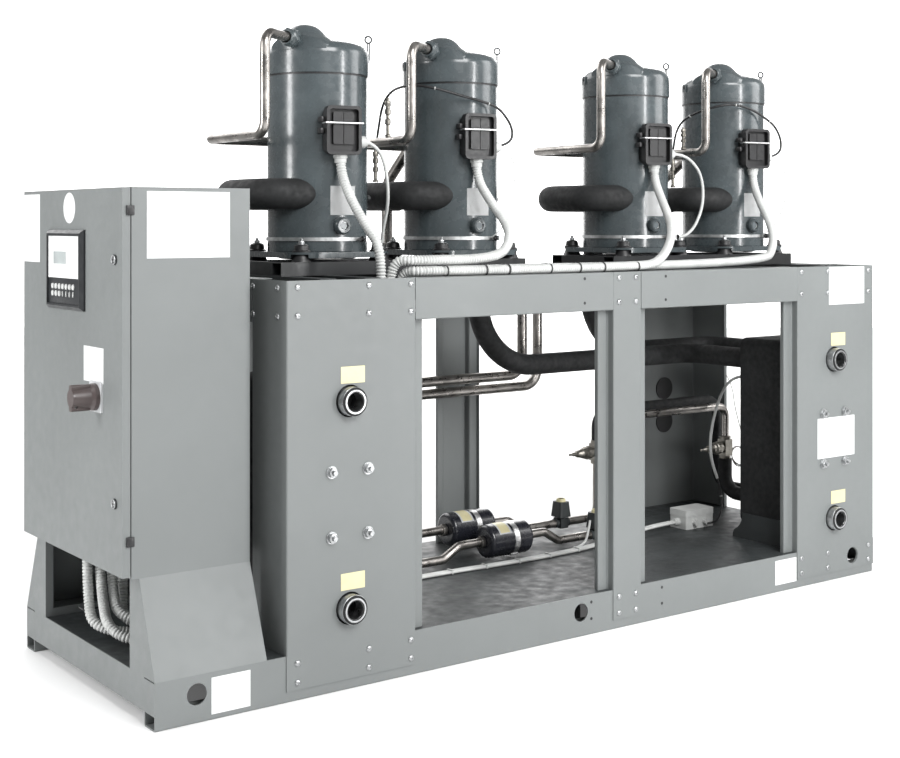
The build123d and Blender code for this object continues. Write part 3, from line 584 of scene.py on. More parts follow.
# Each riser's place, foot and top
TAPS = ((985, 544, 1342.3, TAP_TOP), (2205, 478, 1342.3, TAP_TOP),
        (920, 378, 1472.3, 1588), (2140, 362, 1472.3, 1547))
HOSES = (
    [(1258, 263, 1452), (1298, 262, 1462), (1306, 266, 1506), (1274, 268, 1549),
     (1243, 270, 1572), (1173, 270, 1587), (1111, 270, 1597), (1040, 270, 1611),
     (990, 320, 1626), (979, 400, 1626), (988, 470, 1614), (993, 520, 1577),
     (992, 538, 1505), (985, 544, TAP_TOP + 1)],
    [(2478, 263, 1452), (2524, 262, 1462), (2537, 266, 1510), (2506, 268, 1560),
     (2452, 270, 1589), (2396, 270, 1612), (2332, 270, 1625), (2265, 270, 1628),
     (2222, 320, 1614), (2208, 395, 1594), (2209, 450, 1566), (2204, 472, 1508),
     (2205, 478, TAP_TOP + 1)],
)
SENSOR_CABLES = (
    [(776, 267, 1446), (812, 276, 1436), (843, 285, 1400), (858, 290, 1350), (868, 298, 1300),
     (880, 322, 1252), (886, 350, 1206), (893, 370, 1155), (893, 385, 1108), (870, 390, 1074)],
    [(1998, 267, 1446), (2036, 270, 1447), (2087, 272, 1428), (2134, 275, 1387),
     (2149, 275, 1326), (2142, 275, 1265), (2103, 270, 1204), (2066, 272, 1176),
     (2045, 282, 1168), (2024.5, 288, 1170)],
)
HEATER_WIRES = (
    [(1258, 263, 1440), (1298, 262, 1424), (1313, 262, 1380), (1309, 262, 1330),
     (1287, 255, 1255), (1252, 246, 1195), (1236, 284, 1172)],
    [(2478, 263, 1440), (2524, 262, 1428), (2560, 262, 1385), (2558, 260, 1320),
     (2530, 258, 1258), (2482, 250, 1204), (2464, 287, 1176)],
)
CABLE_Z = 124.5
GLAND_Z = 142
FLOOR_CABLE = (
    (190, 430, CABINET_FLOOR), (190, 430, 240), (230, 430, CABLE_Z), (1150, 457, CABLE_Z),
    (1440, 430, CABLE_Z), (1835, 450, CABLE_Z), (2100, 508, GLAND_Z), (2239.5, 508, GLAND_Z),
)
COIL_BRANCH = [(1640, 446.6, CABLE_Z), (1700, 449.6, CABLE_Z), (1790, 476, CABLE_Z + 6),
               (1826, 502, CABLE_Z + 40), (1850.5, 520, 193)]
FRONT_SOLENOID = (1878, 520, 145)
BACK_SOLENOID = (1830, 650, 168)
DRIERS = ((1370, 1578, 520, 181), (1312, 1524, 650, 205))
DRIER_R = 54
# Shares of a drier's length: its strap, and the outer and inner edges of its label
STRAP_SHARE = 0.53
LABEL_SHARES = (0.24, 0.27, 0.45, 0.48)
EXPANSION_VALVES = ((2519, 520, 385), (1997, 650, 400))
PROBE_CABLE = [
    (2350, 450, 134), (2372, 438, 136), (2410, 446, 150), (2448, 468, 190), (2454, 480, 225),
    (2436, 480, 284), (2410, 480, 335), (2396, 480, 400), (2404, 480, 470), (2436, 480, 560),
    (2478, 480, 620), (2520, 470, 650), (2570, 420, 655), (2600, 340, 655), (2600, 271, 655),
]
LOCK_Y = 135
LOCK_Z = (530, 1126)
TERMINAL_BOX = (-18, -148, 1476)
TERMINAL_TURN = -10
LID_WIRE_Y, LID_WIRE_Z = -44.2, 20
EYE_ANGLE = -20

# The photograph's camera, and the softboxes: name, place, target, width, height, power
CAMERA_PLACE = (-2.811, -3.612, 1.2157)
CAMERA_TURN = math.radians(-36.25)
CAMERA_LENS = 57.56
CAMERA_SHIFT = -0.1733
SOFTBOXES = (
    ("key", (-0.9, -5.2, 4.5), (0.2, 0, 0.9), 3.2, 3.2, 400),
    ("side", (4.6, -2.6, 3.0), (0.4, 0, 0.9), 2.6, 2.6, 110),
    ("rear", (-1.0, 4.2, 3.8), (0, 0, 1.0), 3.0, 3.0, 90),
    ("strip_left", (-3.7, 0.3, 1.6), (0, 0, 1.3), 0.6, 2.6, 80),
    ("floor_wash", (4.8, 6.4, 4.2), (4.8, 6.4, 0), 6.0, 6.0, 460),
    ("strip_right", (1.2, -3.6, 1.6), (0.2, 0, 1.5), 0.35, 2.6, 80),
)


def prepare_finishes():
    """Makes the finish of each of the record's slots, and the scene's own."""
    colors = bpy.context.scene.chiller_colors
    recipes = {
        "frame_paint": (powder_coat, tuple(colors.frame_paint)),
        "compressor_paint": (gloss_paint, tuple(colors.shell_paint)),
        "black_steel": (satin_steel, (0.012, 0.013, 0.014), 0.4),
        "dark_steel": (satin_steel, (0.026, 0.03, 0.031), 0.5),
        "black_plastic": (moulded, (0.012, 0.012, 0.013), 0.42),
        "pipe_insulation": (foam, (0.006, 0.0065, 0.007)),
        "exchanger_insulation": (foam, (0.006, 0.0065, 0.007)),
        "bare_pipe": (drawn_pipe, (0.37, 0.35, 0.33)),
        "handle_plastic": (moulded, (0.07, 0.054, 0.052), 0.36),
        "display_frame": (moulded, (0.014, 0.016, 0.018), 0.35),
        "white_plastic": (moulded, tuple(colors.conduit), 0.42, 300),
        "grey_plastic": (moulded, (0.5, 0.51, 0.5), 0.45),
        "zinc_steel": (bright_metal, (0.44, 0.45, 0.455), 0.34),
        "valve_metal": (bright_metal, (0.3, 0.285, 0.255), 0.42),
        "label_white": (label_stock, (0.68, 0.69, 0.69)),
        "label_yellow": (label_stock, (0.6, 0.55, 0.33)),
        "label_silver": (label_stock, (0.5, 0.51, 0.52)),
        "white_metal": (bright_metal, (0.9, 0.9, 0.9), 0.35),
        "oil_glass": (gloss_paint, (0.12, 0.14, 0.15)),
        "display_glass": (lit_glass, (0.33, 0.36, 0.36)),
        "drier_paint": (gloss_paint, (0.016, 0.017, 0.023)),
        "heater_strap": (bright_metal, (0.62, 0.63, 0.63), 0.4),
    }
    for name, (make, *settings) in recipes.items():
        materials[name] = make(name, *settings)


class CHILLER_OT_finishes(bpy.types.Operator):
    """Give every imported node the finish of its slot, or the one it has here"""

    bl_idname = "chiller.finishes"
    bl_label = "Finishes"

    def execute(self, context):
        prepare_finishes()
        slots = {part["node"]: part["material_slot"] for part in frame["record"]["subparts"]}
        for name, node in frame["nodes"].items():
            node.data.materials.clear()
            node.data.materials.append(materials[NODE_FINISH.get(name, slots[name])])
        return {"FINISHED"}


class CHILLER_OT_conduits(bpy.types.Operator):
    """Ribbed conduits from the terminal boxes to the cabinet, with their ties"""

    bl_idname = "chiller.conduits"
    bl_label = "Conduits"

    def execute(self, context):
        sizes = context.scene.chiller_sizes
        outer = sizes.conduit * 500
        for number, points in enumerate(CONDUITS, 1):
            bm = bmesh.new()
            path, length = ribbed_tube(bm, route_line(points), outer, outer - RIB_DEPTH,
                                       sizes.rib_pitch * 1000)
            piece = finished(f"ribbed_conduit_{number}", bm, "white_plastic", smooth=80)
            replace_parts(piece, f"power_conduit_{number}")
        self.collars(outer)
        self.ties(sizes.tie_count)
        return {"FINISHED"}

    def collars(self, outer):
        """White gland under each terminal box, with a ribbed nut."""
        bm = bmesh.new()
        for points in CONDUITS:
            x, y, z = points[0]
            below = aim((x, y, z), -UP)
            turned(bm, below, [(outer + 0.2, 0), (19, 0), (19, 9), (17, 11), (17, 20), (15.5, 23),
                               (outer + 0.2, 23), (outer + 0.2, 0)], 32)
            for k in range(12):
                angle = math.tau * k / 12
                at = (x + 18.6 * math.cos(angle), y + 18.6 * math.sin(angle), z - 4.6)
                turned_slab(bm, aim(at, UP, angle), (2.4, 2.4, 8), 0.5, 1)
        finished("conduit_glands", bm, "white_plastic")

    def ties(self, count):
        """Black ties round the two conduits that lie side by side, and in the cabinet's foot."""
        bm = bmesh.new()
        for i in range(count):
            x = TIES_FROM + (TIES_TO - TIES_FROM) * i / (count - 1)
            if 0 < i < count - 1:
                x += 22 * math.sin(2.3 * i)
            for y in ROW_Y:
                band(bm, aim((x - 2.4, y, ROW_Z), RIGHT), 14.1, 15.2, 0, 4.8, 24)
            slab(bm, (x - 3.4, 29, ROW_Z + 9), (x + 3.4, 36, ROW_Z + 15.8), 0.8)
        slab(bm, (14, 471.6, 187), (90, 474.4, 191), 0.8)
        slab(bm, (12.6, 471.6, 187), (15.4, 506, 191), 0.8)
        finished("conduit_ties", bm, "black_plastic")


class CHILLER_OT_fasteners(bpy.types.Operator):
    """Fastener heads of the panels, post and cabinet, and black discs of painted shade in the small
    open holes
    """

    bl_idname = "chiller.fasteners"
    bl_label = "Fasteners"

    def execute(self, context):
        radius = context.scene.chiller_sizes.bolt_head * 500
        bm = bmesh.new()
        for z in BEAM_ROWS:
            for x in FRONT_COLUMNS:
                dome_head(bm, aim((x, PANEL_FRONT, z), FRONT), radius, HEAD_HEIGHT)
            for x in BACK_COLUMNS:
                dome_head(bm, aim((x, BASE_WIDTH - PANEL_FRONT, z), BACK), radius, HEAD_HEIGHT)
        for y in END_COLUMNS:
            for z in END_ROWS:
                dome_head(bm, aim((PANEL_END, y, z), LEFT), radius, HEAD_HEIGHT)
        finished("panel_fasteners", bm, "zinc_steel")
        bm = bmesh.new()
        for columns, rows, plane in OPEN_HOLES:
            for x in columns:
                for z in rows:
                    # Each hole is a black disc on the sheet: painted shade inside the hole
                    disc(bm, aim((x, plane + 0.6, z), FRONT), HOLE_R, 0.9, segments=20)
        finished("painted_hole_shade", bm, "black_plastic")
        return {"FINISHED"}


class CHILLER_OT_labels(bpy.types.Operator):
    """Blank plates and labels where the real ones are stuck"""

    bl_idname = "chiller.labels"
    bl_label = "Blank labels"

    def execute(self, context):
        bm = bmesh.new()
        for (x0, x1, z0, z1), plane in FRAME_LABELS:
            slab(bm, (x0, plane - 0.5, z0), (x1, plane + 0.2, z1), 0.2, 1)
        x0, x1, z0, z1 = CABINET_LABEL
        slab(bm, (x0, CABINET_SIDE - 0.6, z0), (x1, CABINET_SIDE + 0.2, z1), 0.2, 1)
        finished("blank_labels_frame", bm, "label_white")
        bm = bmesh.new()
        dx, dz = PORT_PLATE_HALF
        for x in PORT_PLATES[0]:
            for z in PORT_PLATES[1]:
                slab(bm, (x - dx, PANEL_FRONT - 0.8, z - dz), (x + dx, PANEL_FRONT + 0.2, z + dz),
                     0.4, 1)
        finished("blank_plates_ports", bm, "label_yellow")
        bm = bmesh.new()
        for y0, y1, z0, z1 in DOOR_LABELS:
            slab(bm, (DOOR_FRONT - 0.5, y0, z0), (DOOR_FRONT + 0.2, y1, z1), 0.2, 1)
        disc(bm, aim((DOOR_FRONT, *ROUND_LABEL), LEFT), ROUND_LABEL_R, 0.5, segments=48)
        finished("blank_labels_door", bm, "label_white", "door")
        return {"FINISHED"}


class CHILLER_OT_connections(bpy.types.Operator):
    """Threaded sleeves of the water connections, and the nuts on the studs"""

    bl_idname = "chiller.connections"
    bl_label = "Water connections"

    def execute(self, context):
        bm = bmesh.new()
        for x in PORT_X:
            for z in PORT_Z:
                self.sleeve(bm, aim((x, SLEEVE_FRONT, z), BACK))
        finished("connection_sleeves", bm, "zinc_steel")
        bm = bmesh.new()
        for x in PORT_X:
            for dx in (-STUD_DX, STUD_DX):
                for z in STUD_Z:
                    self.stud_nut(bm, x + dx, z)
        finished("stud_nuts", bm, "zinc_steel")
        return {"FINISHED"}

    def stud_nut(self, bm, x, z):
        """Washer, hexagon and the stud's end, one over the other."""
        disc(bm, aim((x, PANEL_FRONT, z), FRONT, 0.4), 16.5, 2.2, segments=28)
        hexagon(bm, aim((x, PANEL_FRONT - 2.2, z), FRONT, 0.4), 13.5, 10, 0.9)
        disc(bm, aim((x, PANEL_FRONT - 12, z), FRONT), 7, 9, top=6, segments=20)

    def sleeve(self, bm, matrix):
        """Ring with a wide chamfer, thread grooves and a bore."""
        profile = [(24.2, 40), (24.2, 3), (27, 0.1), (31.5, 0.1), (38.3, 5)]
        for groove in range(6):
            start = 7 + groove * 3
            profile += [(38.3, start), (37.7, start + 1.5)]
        profile += [(38.3, 26), (38.3, 40), (24.2, 40)]
        turned(bm, matrix, profile, 56)


class CHILLER_OT_display(bpy.types.Operator):
    """Face, window and keys of the display"""

    bl_idname = "chiller.display"
    bl_label = "Display"

    def execute(self, context):
        self.sheet("display_face", DISPLAY_FACE, 1.2, -0.5, 0.8, "label_white", "grey_plastic")
        self.sheet("display_window", DISPLAY_WINDOW, 2.4, 1.0, 0.6, "display_glass")
        self.sheet("display_keypad", DISPLAY_KEYPAD, 1.2, -0.5, 0.8, "display_frame")
        bm = bmesh.new()
        for column in range(KEY_COLUMNS):
            y = KEY_START - column * KEY_STEP
            for z, thin in zip(KEY_ROWS, (False, column > 2)):
                wide = 0.3 if thin else 1
                matrix = aim((DISPLAY_FRONT - 1, y, z), LEFT) @ Matrix.Diagonal((wide, 1, 1, 1))
                disc(bm, matrix, 7.8, 2.4, top=7, segments=28)
        finished("display_keys", bm, "white_plastic", "door")
        return {"FINISHED"}

    def sheet(self, name, box, proud, back, rounding, finish, slot=None):
        """A flat piece of the display, so far before its front."""
        y0, y1, z0, z1 = box
        bm = bmesh.new()
        slab(bm, (DISPLAY_FRONT - proud, y0, z0), (DISPLAY_FRONT - back, y1, z1), rounding)
        finished(name, bm, finish, "door")


class CHILLER_OT_door_details(bpy.types.Operator):
    """Bright lock faces with their key slots drawn as black crosses of painted shade, and the
    blocks in the door's gap
    """

    bl_idname = "chiller.door_details"
    bl_label = "Door details"

    def execute(self, context):
        bm = bmesh.new()
        slots = bmesh.new()
        for z in LOCK_Z:
            face = aim((DOOR_FRONT - 5, LOCK_Y, z), LEFT)
            torus(bm, face, 10.4, 1.5, 36)
            disc(bm, face, 6.4, 1.2, top=5.6)
            # The key slot is a black cross standing on the face: painted shade inside the slot
            for size in ((2.6, 9.5, 0.8), (9.5, 2.6, 0.8)):
                turned_slab(slots, face @ Matrix.Translation((0, 0, 0.0012)), size, 0.3, 1)
        finished("lock_faces", bm, "zinc_steel", "door")
        finished("key_slot_shade", slots, "black_plastic", "door")
        bm = bmesh.new()
        for z in DOOR_GAP_BLOCKS:
            slab(bm, (-33, 86, z - 12), (-13, 101, z + 12), 1.5)
        finished("door_buffers", bm, "black_plastic")
        return {"FINISHED"}


def hanging_cord(name, points, diameter, finish):
    """A round cord whose smooth line has a route's points as its control points."""
    data = route_curve(name, points)
    data.bevel_depth = diameter / 2000
    data.bevel_resolution = 5
    data.use_fill_caps = True
    data.materials.append(materials[finish])
    cord = bpy.data.objects.new(name, data)
    bpy.context.collection.objects.link(cord)
    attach(cord, "frame")
    line = route_line(points)
    return cord


class CHILLER_OT_cords(bpy.types.Operator):
    """Hoses, thin cables and pressure taps at the compressors, and the floor cables"""

    bl_idname = "chiller.cords"
    bl_label = "Hoses and cables"

    def execute(self, context):
        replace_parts(self.taps(), "control_lines")
        for kind, numbers, routes, diameter, finish in (
            ("tap_hose", (2, 4), HOSES, HOSE_D, "black_plastic"),
            ("sensor_cable", (1, 3), SENSOR_CABLES, SENSOR_CABLE_D, "white_plastic"),
            ("heater_wire", (2, 4), HEATER_WIRES, HEATER_WIRE_D, "white_plastic"),
        ):
            for number, points in zip(numbers, routes):
                cord = hanging_cord(f"{kind}_{number}", points, diameter, finish)
                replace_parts(cord, "control_lines")
        for side, dy in FLOOR_CABLE_DY.items():
            points = [(x, y + dy, z) for x, y, z in FLOOR_CABLE]
            cord = hanging_cord(f"floor_cable_{side}", points, FLOOR_CABLE_D, "white_plastic")
            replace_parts(cord, "floor_cable")
        cord = hanging_cord("coil_cable", COIL_BRANCH, COIL_CABLE_D, "white_plastic")
        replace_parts(cord, "floor_cable")
        self.hose_ties()
        self.floor_ties()
        return {"FINISHED"}

    def taps(self):
        """Risers with their valves, collars and caps, on the pipes of compressors 2 and 4."""
        bm = bmesh.new()
        for x, y, z0, z1 in TAPS:
            height = z1 - z0
            turned(bm, aim((x, y, z0), UP), [
                (0.01, 0), (9, 0), (9, 5), (5.5, 8), (5.5, height * 0.3), (9, height * 0.32),
                (9, height * 0.44), (5.5, height * 0.47), (5.5, height * 0.56),
                (9.5, height * 0.58), (9.5, height * 0.7), (7, height * 0.72),
                (7, height * 0.78), (0.01, height * 0.78)], 20)
            hexagon(bm, aim((x, y, z0 + height * 0.78), UP), 9.5, height * 0.14, 0.8, 1)
            disc(bm, aim((x, y, z0 + height * 0.92), UP), 5, height * 0.08)
        return finished("pressure_taps", bm, "valve_metal")

    def hose_ties(self):
        """White ties on the black hoses."""
        bm = bmesh.new()
        for points in HOSES:
            path, _ = stepped(route_line(points), 0.095)
            frames = ring_frames(path)
            for k in (2, 4, 6, 7):
                band(bm, frames[k], 4.1, 5, -1.6, 1.6, 18)
        finished("hose_ties", bm, "white_plastic")

    def floor_ties(self):
        """Ties round the two floor cables."""
        bm = bmesh.new()
        path, _ = stepped(route_line(FLOOR_CABLE), 0.13)
        for point in path[4:-3]:
            x, y = point.x * 1000 + BASE_LENGTH / 2, point.y * 1000 + BASE_WIDTH / 2
            top = point.z * 1000 + 7
            slab(bm, (x - 3.2, y - 14, top - 1.6), (x + 3.2, y + 14, top + 0.6), 0.5)
            for side in (-14, 12.6):
                slab(bm, (x - 3.2, y + side, top - 12.2), (x + 3.2, y + side + 1.4, top + 0.4), 0.4)
        finished("floor_cable_ties", bm, "white_plastic")


class CHILLER_OT_compressor_details(bpy.types.Operator):
    """Painted shadow bands at the cap seams, sight glasses, blank plates, lid wires, eyes, cups and
    nuts of the shells
    """

    bl_idname = "chiller.compressor_details"
    bl_label = "Compressor details"

    def execute(self, context):
        for number, x in enumerate(COMPRESSOR_X, 1):
            self.cap_seam_shadow(number, x)
            self.glass(number, x)
            self.plate(number, x)
            self.lid_wire(number, x)
            self.lifting_eye(number, x)
            self.cups(number, x)
            self.shell_fittings(number, x)
            self.discharge_nut(number, x)
        return {"FINISHED"}

    def cap_seam_shadow(self, number, x):
        """Black band where the cap's skirt ends: painted shadow under the skirt's overhang."""
        bm = bmesh.new()
        band(bm, aim((x, COMPRESSOR_Y, CAP_SHADOW_Z), UP), SHELL_R - 1, SHELL_R + 1.2, 0, 5.2, 72)
        finished(f"cap_seam_shadow_{number}", bm, "black_plastic")

    def glass(self, number, x):
        """Nut, ring and window of the oil level glass."""
        direction = Vector((-0.06, -1, 0)).normalized()
        start = Vector((x, COMPRESSOR_Y, GLASS_Z))
        bm = bmesh.new()
        turned(bm, aim(start + direction * 155, direction), [
            (13.2, 3), (13.2, 9.2), (19, 9.4), (21.5, 7.5), (25.4, 1.4), (25.4, 0)], 40)
        finished(f"oil_glass_ring_{number}", bm, "compressor_paint")
        bm = bmesh.new()
        torus(bm, aim(start + direction * 159, direction), 11.4, 1.3)
        finished(f"oil_glass_bezel_{number}", bm, "zinc_steel")
        bm = bmesh.new()
        disc(bm, aim(start + direction * 158.2, direction), 11, 1.4, top=10)
        finished(f"oil_window_{number}", bm, "oil_glass")

    def plate(self, number, x):
        """Blank plate curved round the shell above the window."""
        bm = bmesh.new()
        grid = bmesh.ops.create_grid(bm, x_segments=16, y_segments=8, size=0.5)["verts"]
        for vert in grid:
            angle = math.radians(-90 + vert.co.x * 2 * PLATE_HALF_ANGLE)
            z = PLATE_Z + vert.co.y * PLATE_HEIGHT
            r = SHELL_R + 0.35
            vert.co = place(x + r * math.cos(angle), COMPRESSOR_Y + r * math.sin(angle), z)
        bmesh.ops.solidify(bm, geom=bm.faces[:], thickness=0.0004)
        finished(f"blank_plate_{number}", bm, "label_white")

    def lid_wire(self, number, x):
        """Bright wire across the terminal box, and the lugs of its lid on the left."""
        box = Matrix.Translation(place(x + TERMINAL_BOX[0], COMPRESSOR_Y + TERMINAL_BOX[1],
                                       TERMINAL_BOX[2]))
        box = box @ Matrix.Rotation(math.radians(TERMINAL_TURN), 4, "Z")
        to_right = Matrix.Rotation(math.radians(90), 4, "Y")
        to_back = Matrix.Rotation(math.radians(-90), 4, "X")

        def on_box(dx, dy, dz):
            return box @ Matrix.Translation(Vector((dx, dy, dz)) / 1000)

        bm = bmesh.new()
        disc(bm, on_box(-57, LID_WIRE_Y, LID_WIRE_Z) @ to_right, 2.8, 114, segments=16)
        for dx in (-55.2, 55.2):
            disc(bm, on_box(dx, LID_WIRE_Y, LID_WIRE_Z) @ to_back, 2.4, 30, segments=12)
        finished(f"lid_wire_{number}", bm, "white_metal")
        bm = bmesh.new()
        for dx, dz in ((-58, 30), (-60, -2)):
            turned_slab(bm, on_box(dx, -12, dz), (12, 30, 16), 3)
        finished(f"lid_lugs_{number}", bm, "black_plastic")

    def lifting_eye(self, number, x):
        """Wire eye in the lifting lug at the right of the cap."""
        bm = bmesh.new()
        turn = math.radians(EYE_ANGLE)
        side = Vector((math.cos(turn), math.sin(turn), 0))
        across = side.cross(UP)
        base = Vector((x, COMPRESSOR_Y, 0)) + side * LUG_R
        for offset in (-3, 3):
            disc(bm, aim(base + side * offset + UP * LUG_Z, UP), 2.2, 52, segments=12)
        torus(bm, aim(base + UP * EYE_Z, across), 9.8, 2.8)
        torus(bm, aim(base + UP * LUG_Z, side), 4.5, 1.7, 20, 8)
        finished(f"lifting_eyes_{number}", bm, "dark_steel")

    def cups(self, number, x):
        """Rubber cups over the foot plate, each with a bolt."""
        bm = bmesh.new()
        bolts = bmesh.new()
        for dx in (-FOOT_HALF, FOOT_HALF):
            for dy in (-FOOT_HALF, FOOT_HALF):
                at = Vector((x + dx, COMPRESSOR_Y + dy, CUP_Z))
                turned(bm, aim(at, UP), [
                    (27, 0), (27, 3), (22, 6), (20, 19), (16, 22), (9, 22.4), (0.01, 22.4)], 28)
                hex_bolt(bolts, aim(at + UP * 21.9, UP), 15, 8)
                disc(bolts, aim(at + UP * 29.9, UP), 4.5, 8, segments=16)
        finished(f"mount_cups_{number}", bm, "black_plastic")
        finished(f"mount_bolts_{number}", bolts, "zinc_steel")

    def discharge_nut(self, number, x):
        """Nut and collar where the discharge line leaves the hump."""
        start = Vector((x, COMPRESSOR_Y, STUB_Z)) + STUB_WAY * 160
        bm = bmesh.new()
        hexagon(bm, aim(start, STUB_WAY, 0.2), 29, 24, 1.6)
        turned(bm, aim(start + STUB_WAY * 24, STUB_WAY), [
            (17, -2), (25, -2), (25, 2), (22, 5), (22, 14), (20, 17), (17, 17)], 32)
        finished(f"discharge_nut_{number}", bm, "compressor_paint")

    def shell_fittings(self, number, x):
        """Access fitting at the right, and the clamp screw of the heater band."""
        bm = bmesh.new()
        right = (x + 144, COMPRESSOR_Y - 20, FITTING_Z)
        turned(bm, aim(right, RIGHT), [(0.01, 0), (7, 0), (7, 6), (4.4, 8), (4.4, 14), (7.5, 15),
                                       (7.5, 23), (5, 25), (0.01, 25)], 20)
        finished(f"access_fitting_{number}", bm, "dark_steel")
        bm = bmesh.new()
        y = COMPRESSOR_Y - SHELL_R - 5
        disc(bm, aim((x + 62, y, STRAP_Z), RIGHT), 3, 42, segments=14)
        for dx, way in ((60, LEFT), (98, RIGHT)):
            hex_bolt(bm, aim((x + dx, y, STRAP_Z), way), 9, 5)
        finished(f"strap_screw_{number}", bm, "black_plastic")


class CHILLER_OT_pipe_details(bpy.types.Operator):
    """Straps, blank labels and nuts of the driers, coil tops, valve covers and capillary"""

    bl_idname = "chiller.pipe_details"
    bl_label = "Pipe details"

    def execute(self, context):
        for number, (x0, x1, y, z) in enumerate(DRIERS, 1):
            self.drier(number, x0, x1, y, z)
        bm = bmesh.new()
        for x, y, z in (FRONT_SOLENOID, BACK_SOLENOID):
            disc(bm, aim((x, y, z + 74), UP), 17, 9, top=15.5)
            torus(bm, aim((x, y, z + 83), UP), 12.4, 1.6)
        finished("coil_tops", bm, "label_yellow")
        self.valve_noses()
        self.capillary()
        self.gap_cable()
        return {"FINISHED"}

    def drier(self, number, x0, x1, y, z):
        """Strap with its clamp, blank label with bright edges, and nuts of a drier."""
        bm = bmesh.new()
        strap = x0 + STRAP_SHARE * (x1 - x0)
        band(bm, aim((strap, y, z), RIGHT), DRIER_R - 0.4, DRIER_R + 0.6, 0, 20, 64)
        under = z - DRIER_R * 0.9
        slab(bm, (strap - 5, y - 34, under - 2), (strap + 25, y - 26, under + 6), 1)
        finished(f"drier_strap_{number}", bm, "white_metal")
        left, from_x, to_x, right = (x0 + share * (x1 - x0) for share in LABEL_SHARES)
        bm = bmesh.new()
        self.wrapped(bm, from_x, to_x, y, z, 34, 108)
        finished(f"drier_label_{number}", bm, "label_yellow")
        bm = bmesh.new()
        self.wrapped(bm, left, right, y, z, 30, 34)
        self.wrapped(bm, left, from_x, y, z, 30, 112)
        self.wrapped(bm, to_x, right, y, z, 30, 112)
        finished(f"drier_label_edge_{number}", bm, "label_silver")
        bm = bmesh.new()
        for x, way in ((x0, RIGHT), (x1, LEFT)):
            hexagon(bm, aim((x, y, z), way), 21, 16, 1.2)
        finished(f"drier_nuts_{number}", bm, "bare_pipe")

    def wrapped(self, bm, x0, x1, y, z, low, high):
        """A label round a drier, between two angles up from its front."""
        made = bmesh.ops.create_grid(bm, x_segments=2, y_segments=14, size=0.5)["verts"]
        for vert in made:
            angle = math.radians(low + (high - low) * (vert.co.y + 0.5))
            r = DRIER_R + 0.7
            across = x0 + (x1 - x0) * (vert.co.x + 0.5)
            vert.co = place(across, y - r * math.cos(angle), z + r * math.sin(angle))

    def valve_noses(self):
        """Pointed stem cover, hexagons and ribs of the expansion valves."""
        bm = bmesh.new()
        for x, y, z in EXPANSION_VALVES:
            turned(bm, aim((x - 18, y, z), LEFT), [
                (0.01, -2), (17, -2), (17, 14), (22, 16), (22, 38), (18, 41), (18, 52),
                (15, 56), (12, 76), (7, 80), (7, 92), (4, 96), (4, 110), (0.01, 110)], 28)
            hexagon(bm, aim((x - 34, y, z), LEFT), 25, 14, 1.4)
            hexagon(bm, aim((x, y, z + 30), UP), 22, 12, 1.4)
            hexagon(bm, aim((x, y, z - 30), -UP), 22, 12, 1.4)
        finished("valve_noses", bm, "valve_metal")

    def capillary(self):
        """Coiled capillary of the front expansion valve, with the leads at its two ends."""
        x, y, z = EXPANSION_VALVES[0]
        coil = Vector((x + 64, y - 4, z - 40))
        bm = bmesh.new()
        for k in range(4):
            lean = Vector((1, 0.14 * (k - 1.5), 0.1 * (k % 2))).normalized()
            torus(bm, aim(coil + Vector((3.6 * k, 0, 1.5 * (k % 2))), lean), 37 - k, 1.5, 40, 8)
        for points in (
            [(x + 18, y, z - 10), (x + 40, y, z - 8), (x + 62, y - 4, z - 3)],
            [(x + 70, y - 41, z - 40), (x + 110, y + 10, z + 20), (x + 95, y + 40, z + 135),
             (x + 84, y + 40, z + 215), (x + 70, y + 60, z + 260)],
        ):
            wire(bm, ring_frames(stepped(route_line(points), 0.008)[0]), 1.5)
        finished("capillary", bm, "bare_pipe")

    def gap_cable(self):
        """Sheathed cable from the junction box up the gap behind the evaporator."""
        hanging_cord("probe_cable", PROBE_CABLE, PROBE_CABLE_D, "black_plastic")
        frames = ring_frames(stepped(route_line(PROBE_CABLE), 0.01)[0])
        bm = bmesh.new()
        wire(bm, frames[round(0.25 * len(frames)):round(0.8 * len(frames))], 5.2, 14)
        finished("probe_sheath", bm, "white_plastic")
        bm = bmesh.new()
        for share in (0.17, 0.37, 0.62):
            band(bm, frames[round(share * len(frames))], 5.2, 6.4, -1.6, 1.6, 18)
        finished("probe_ties", bm, "white_plastic")


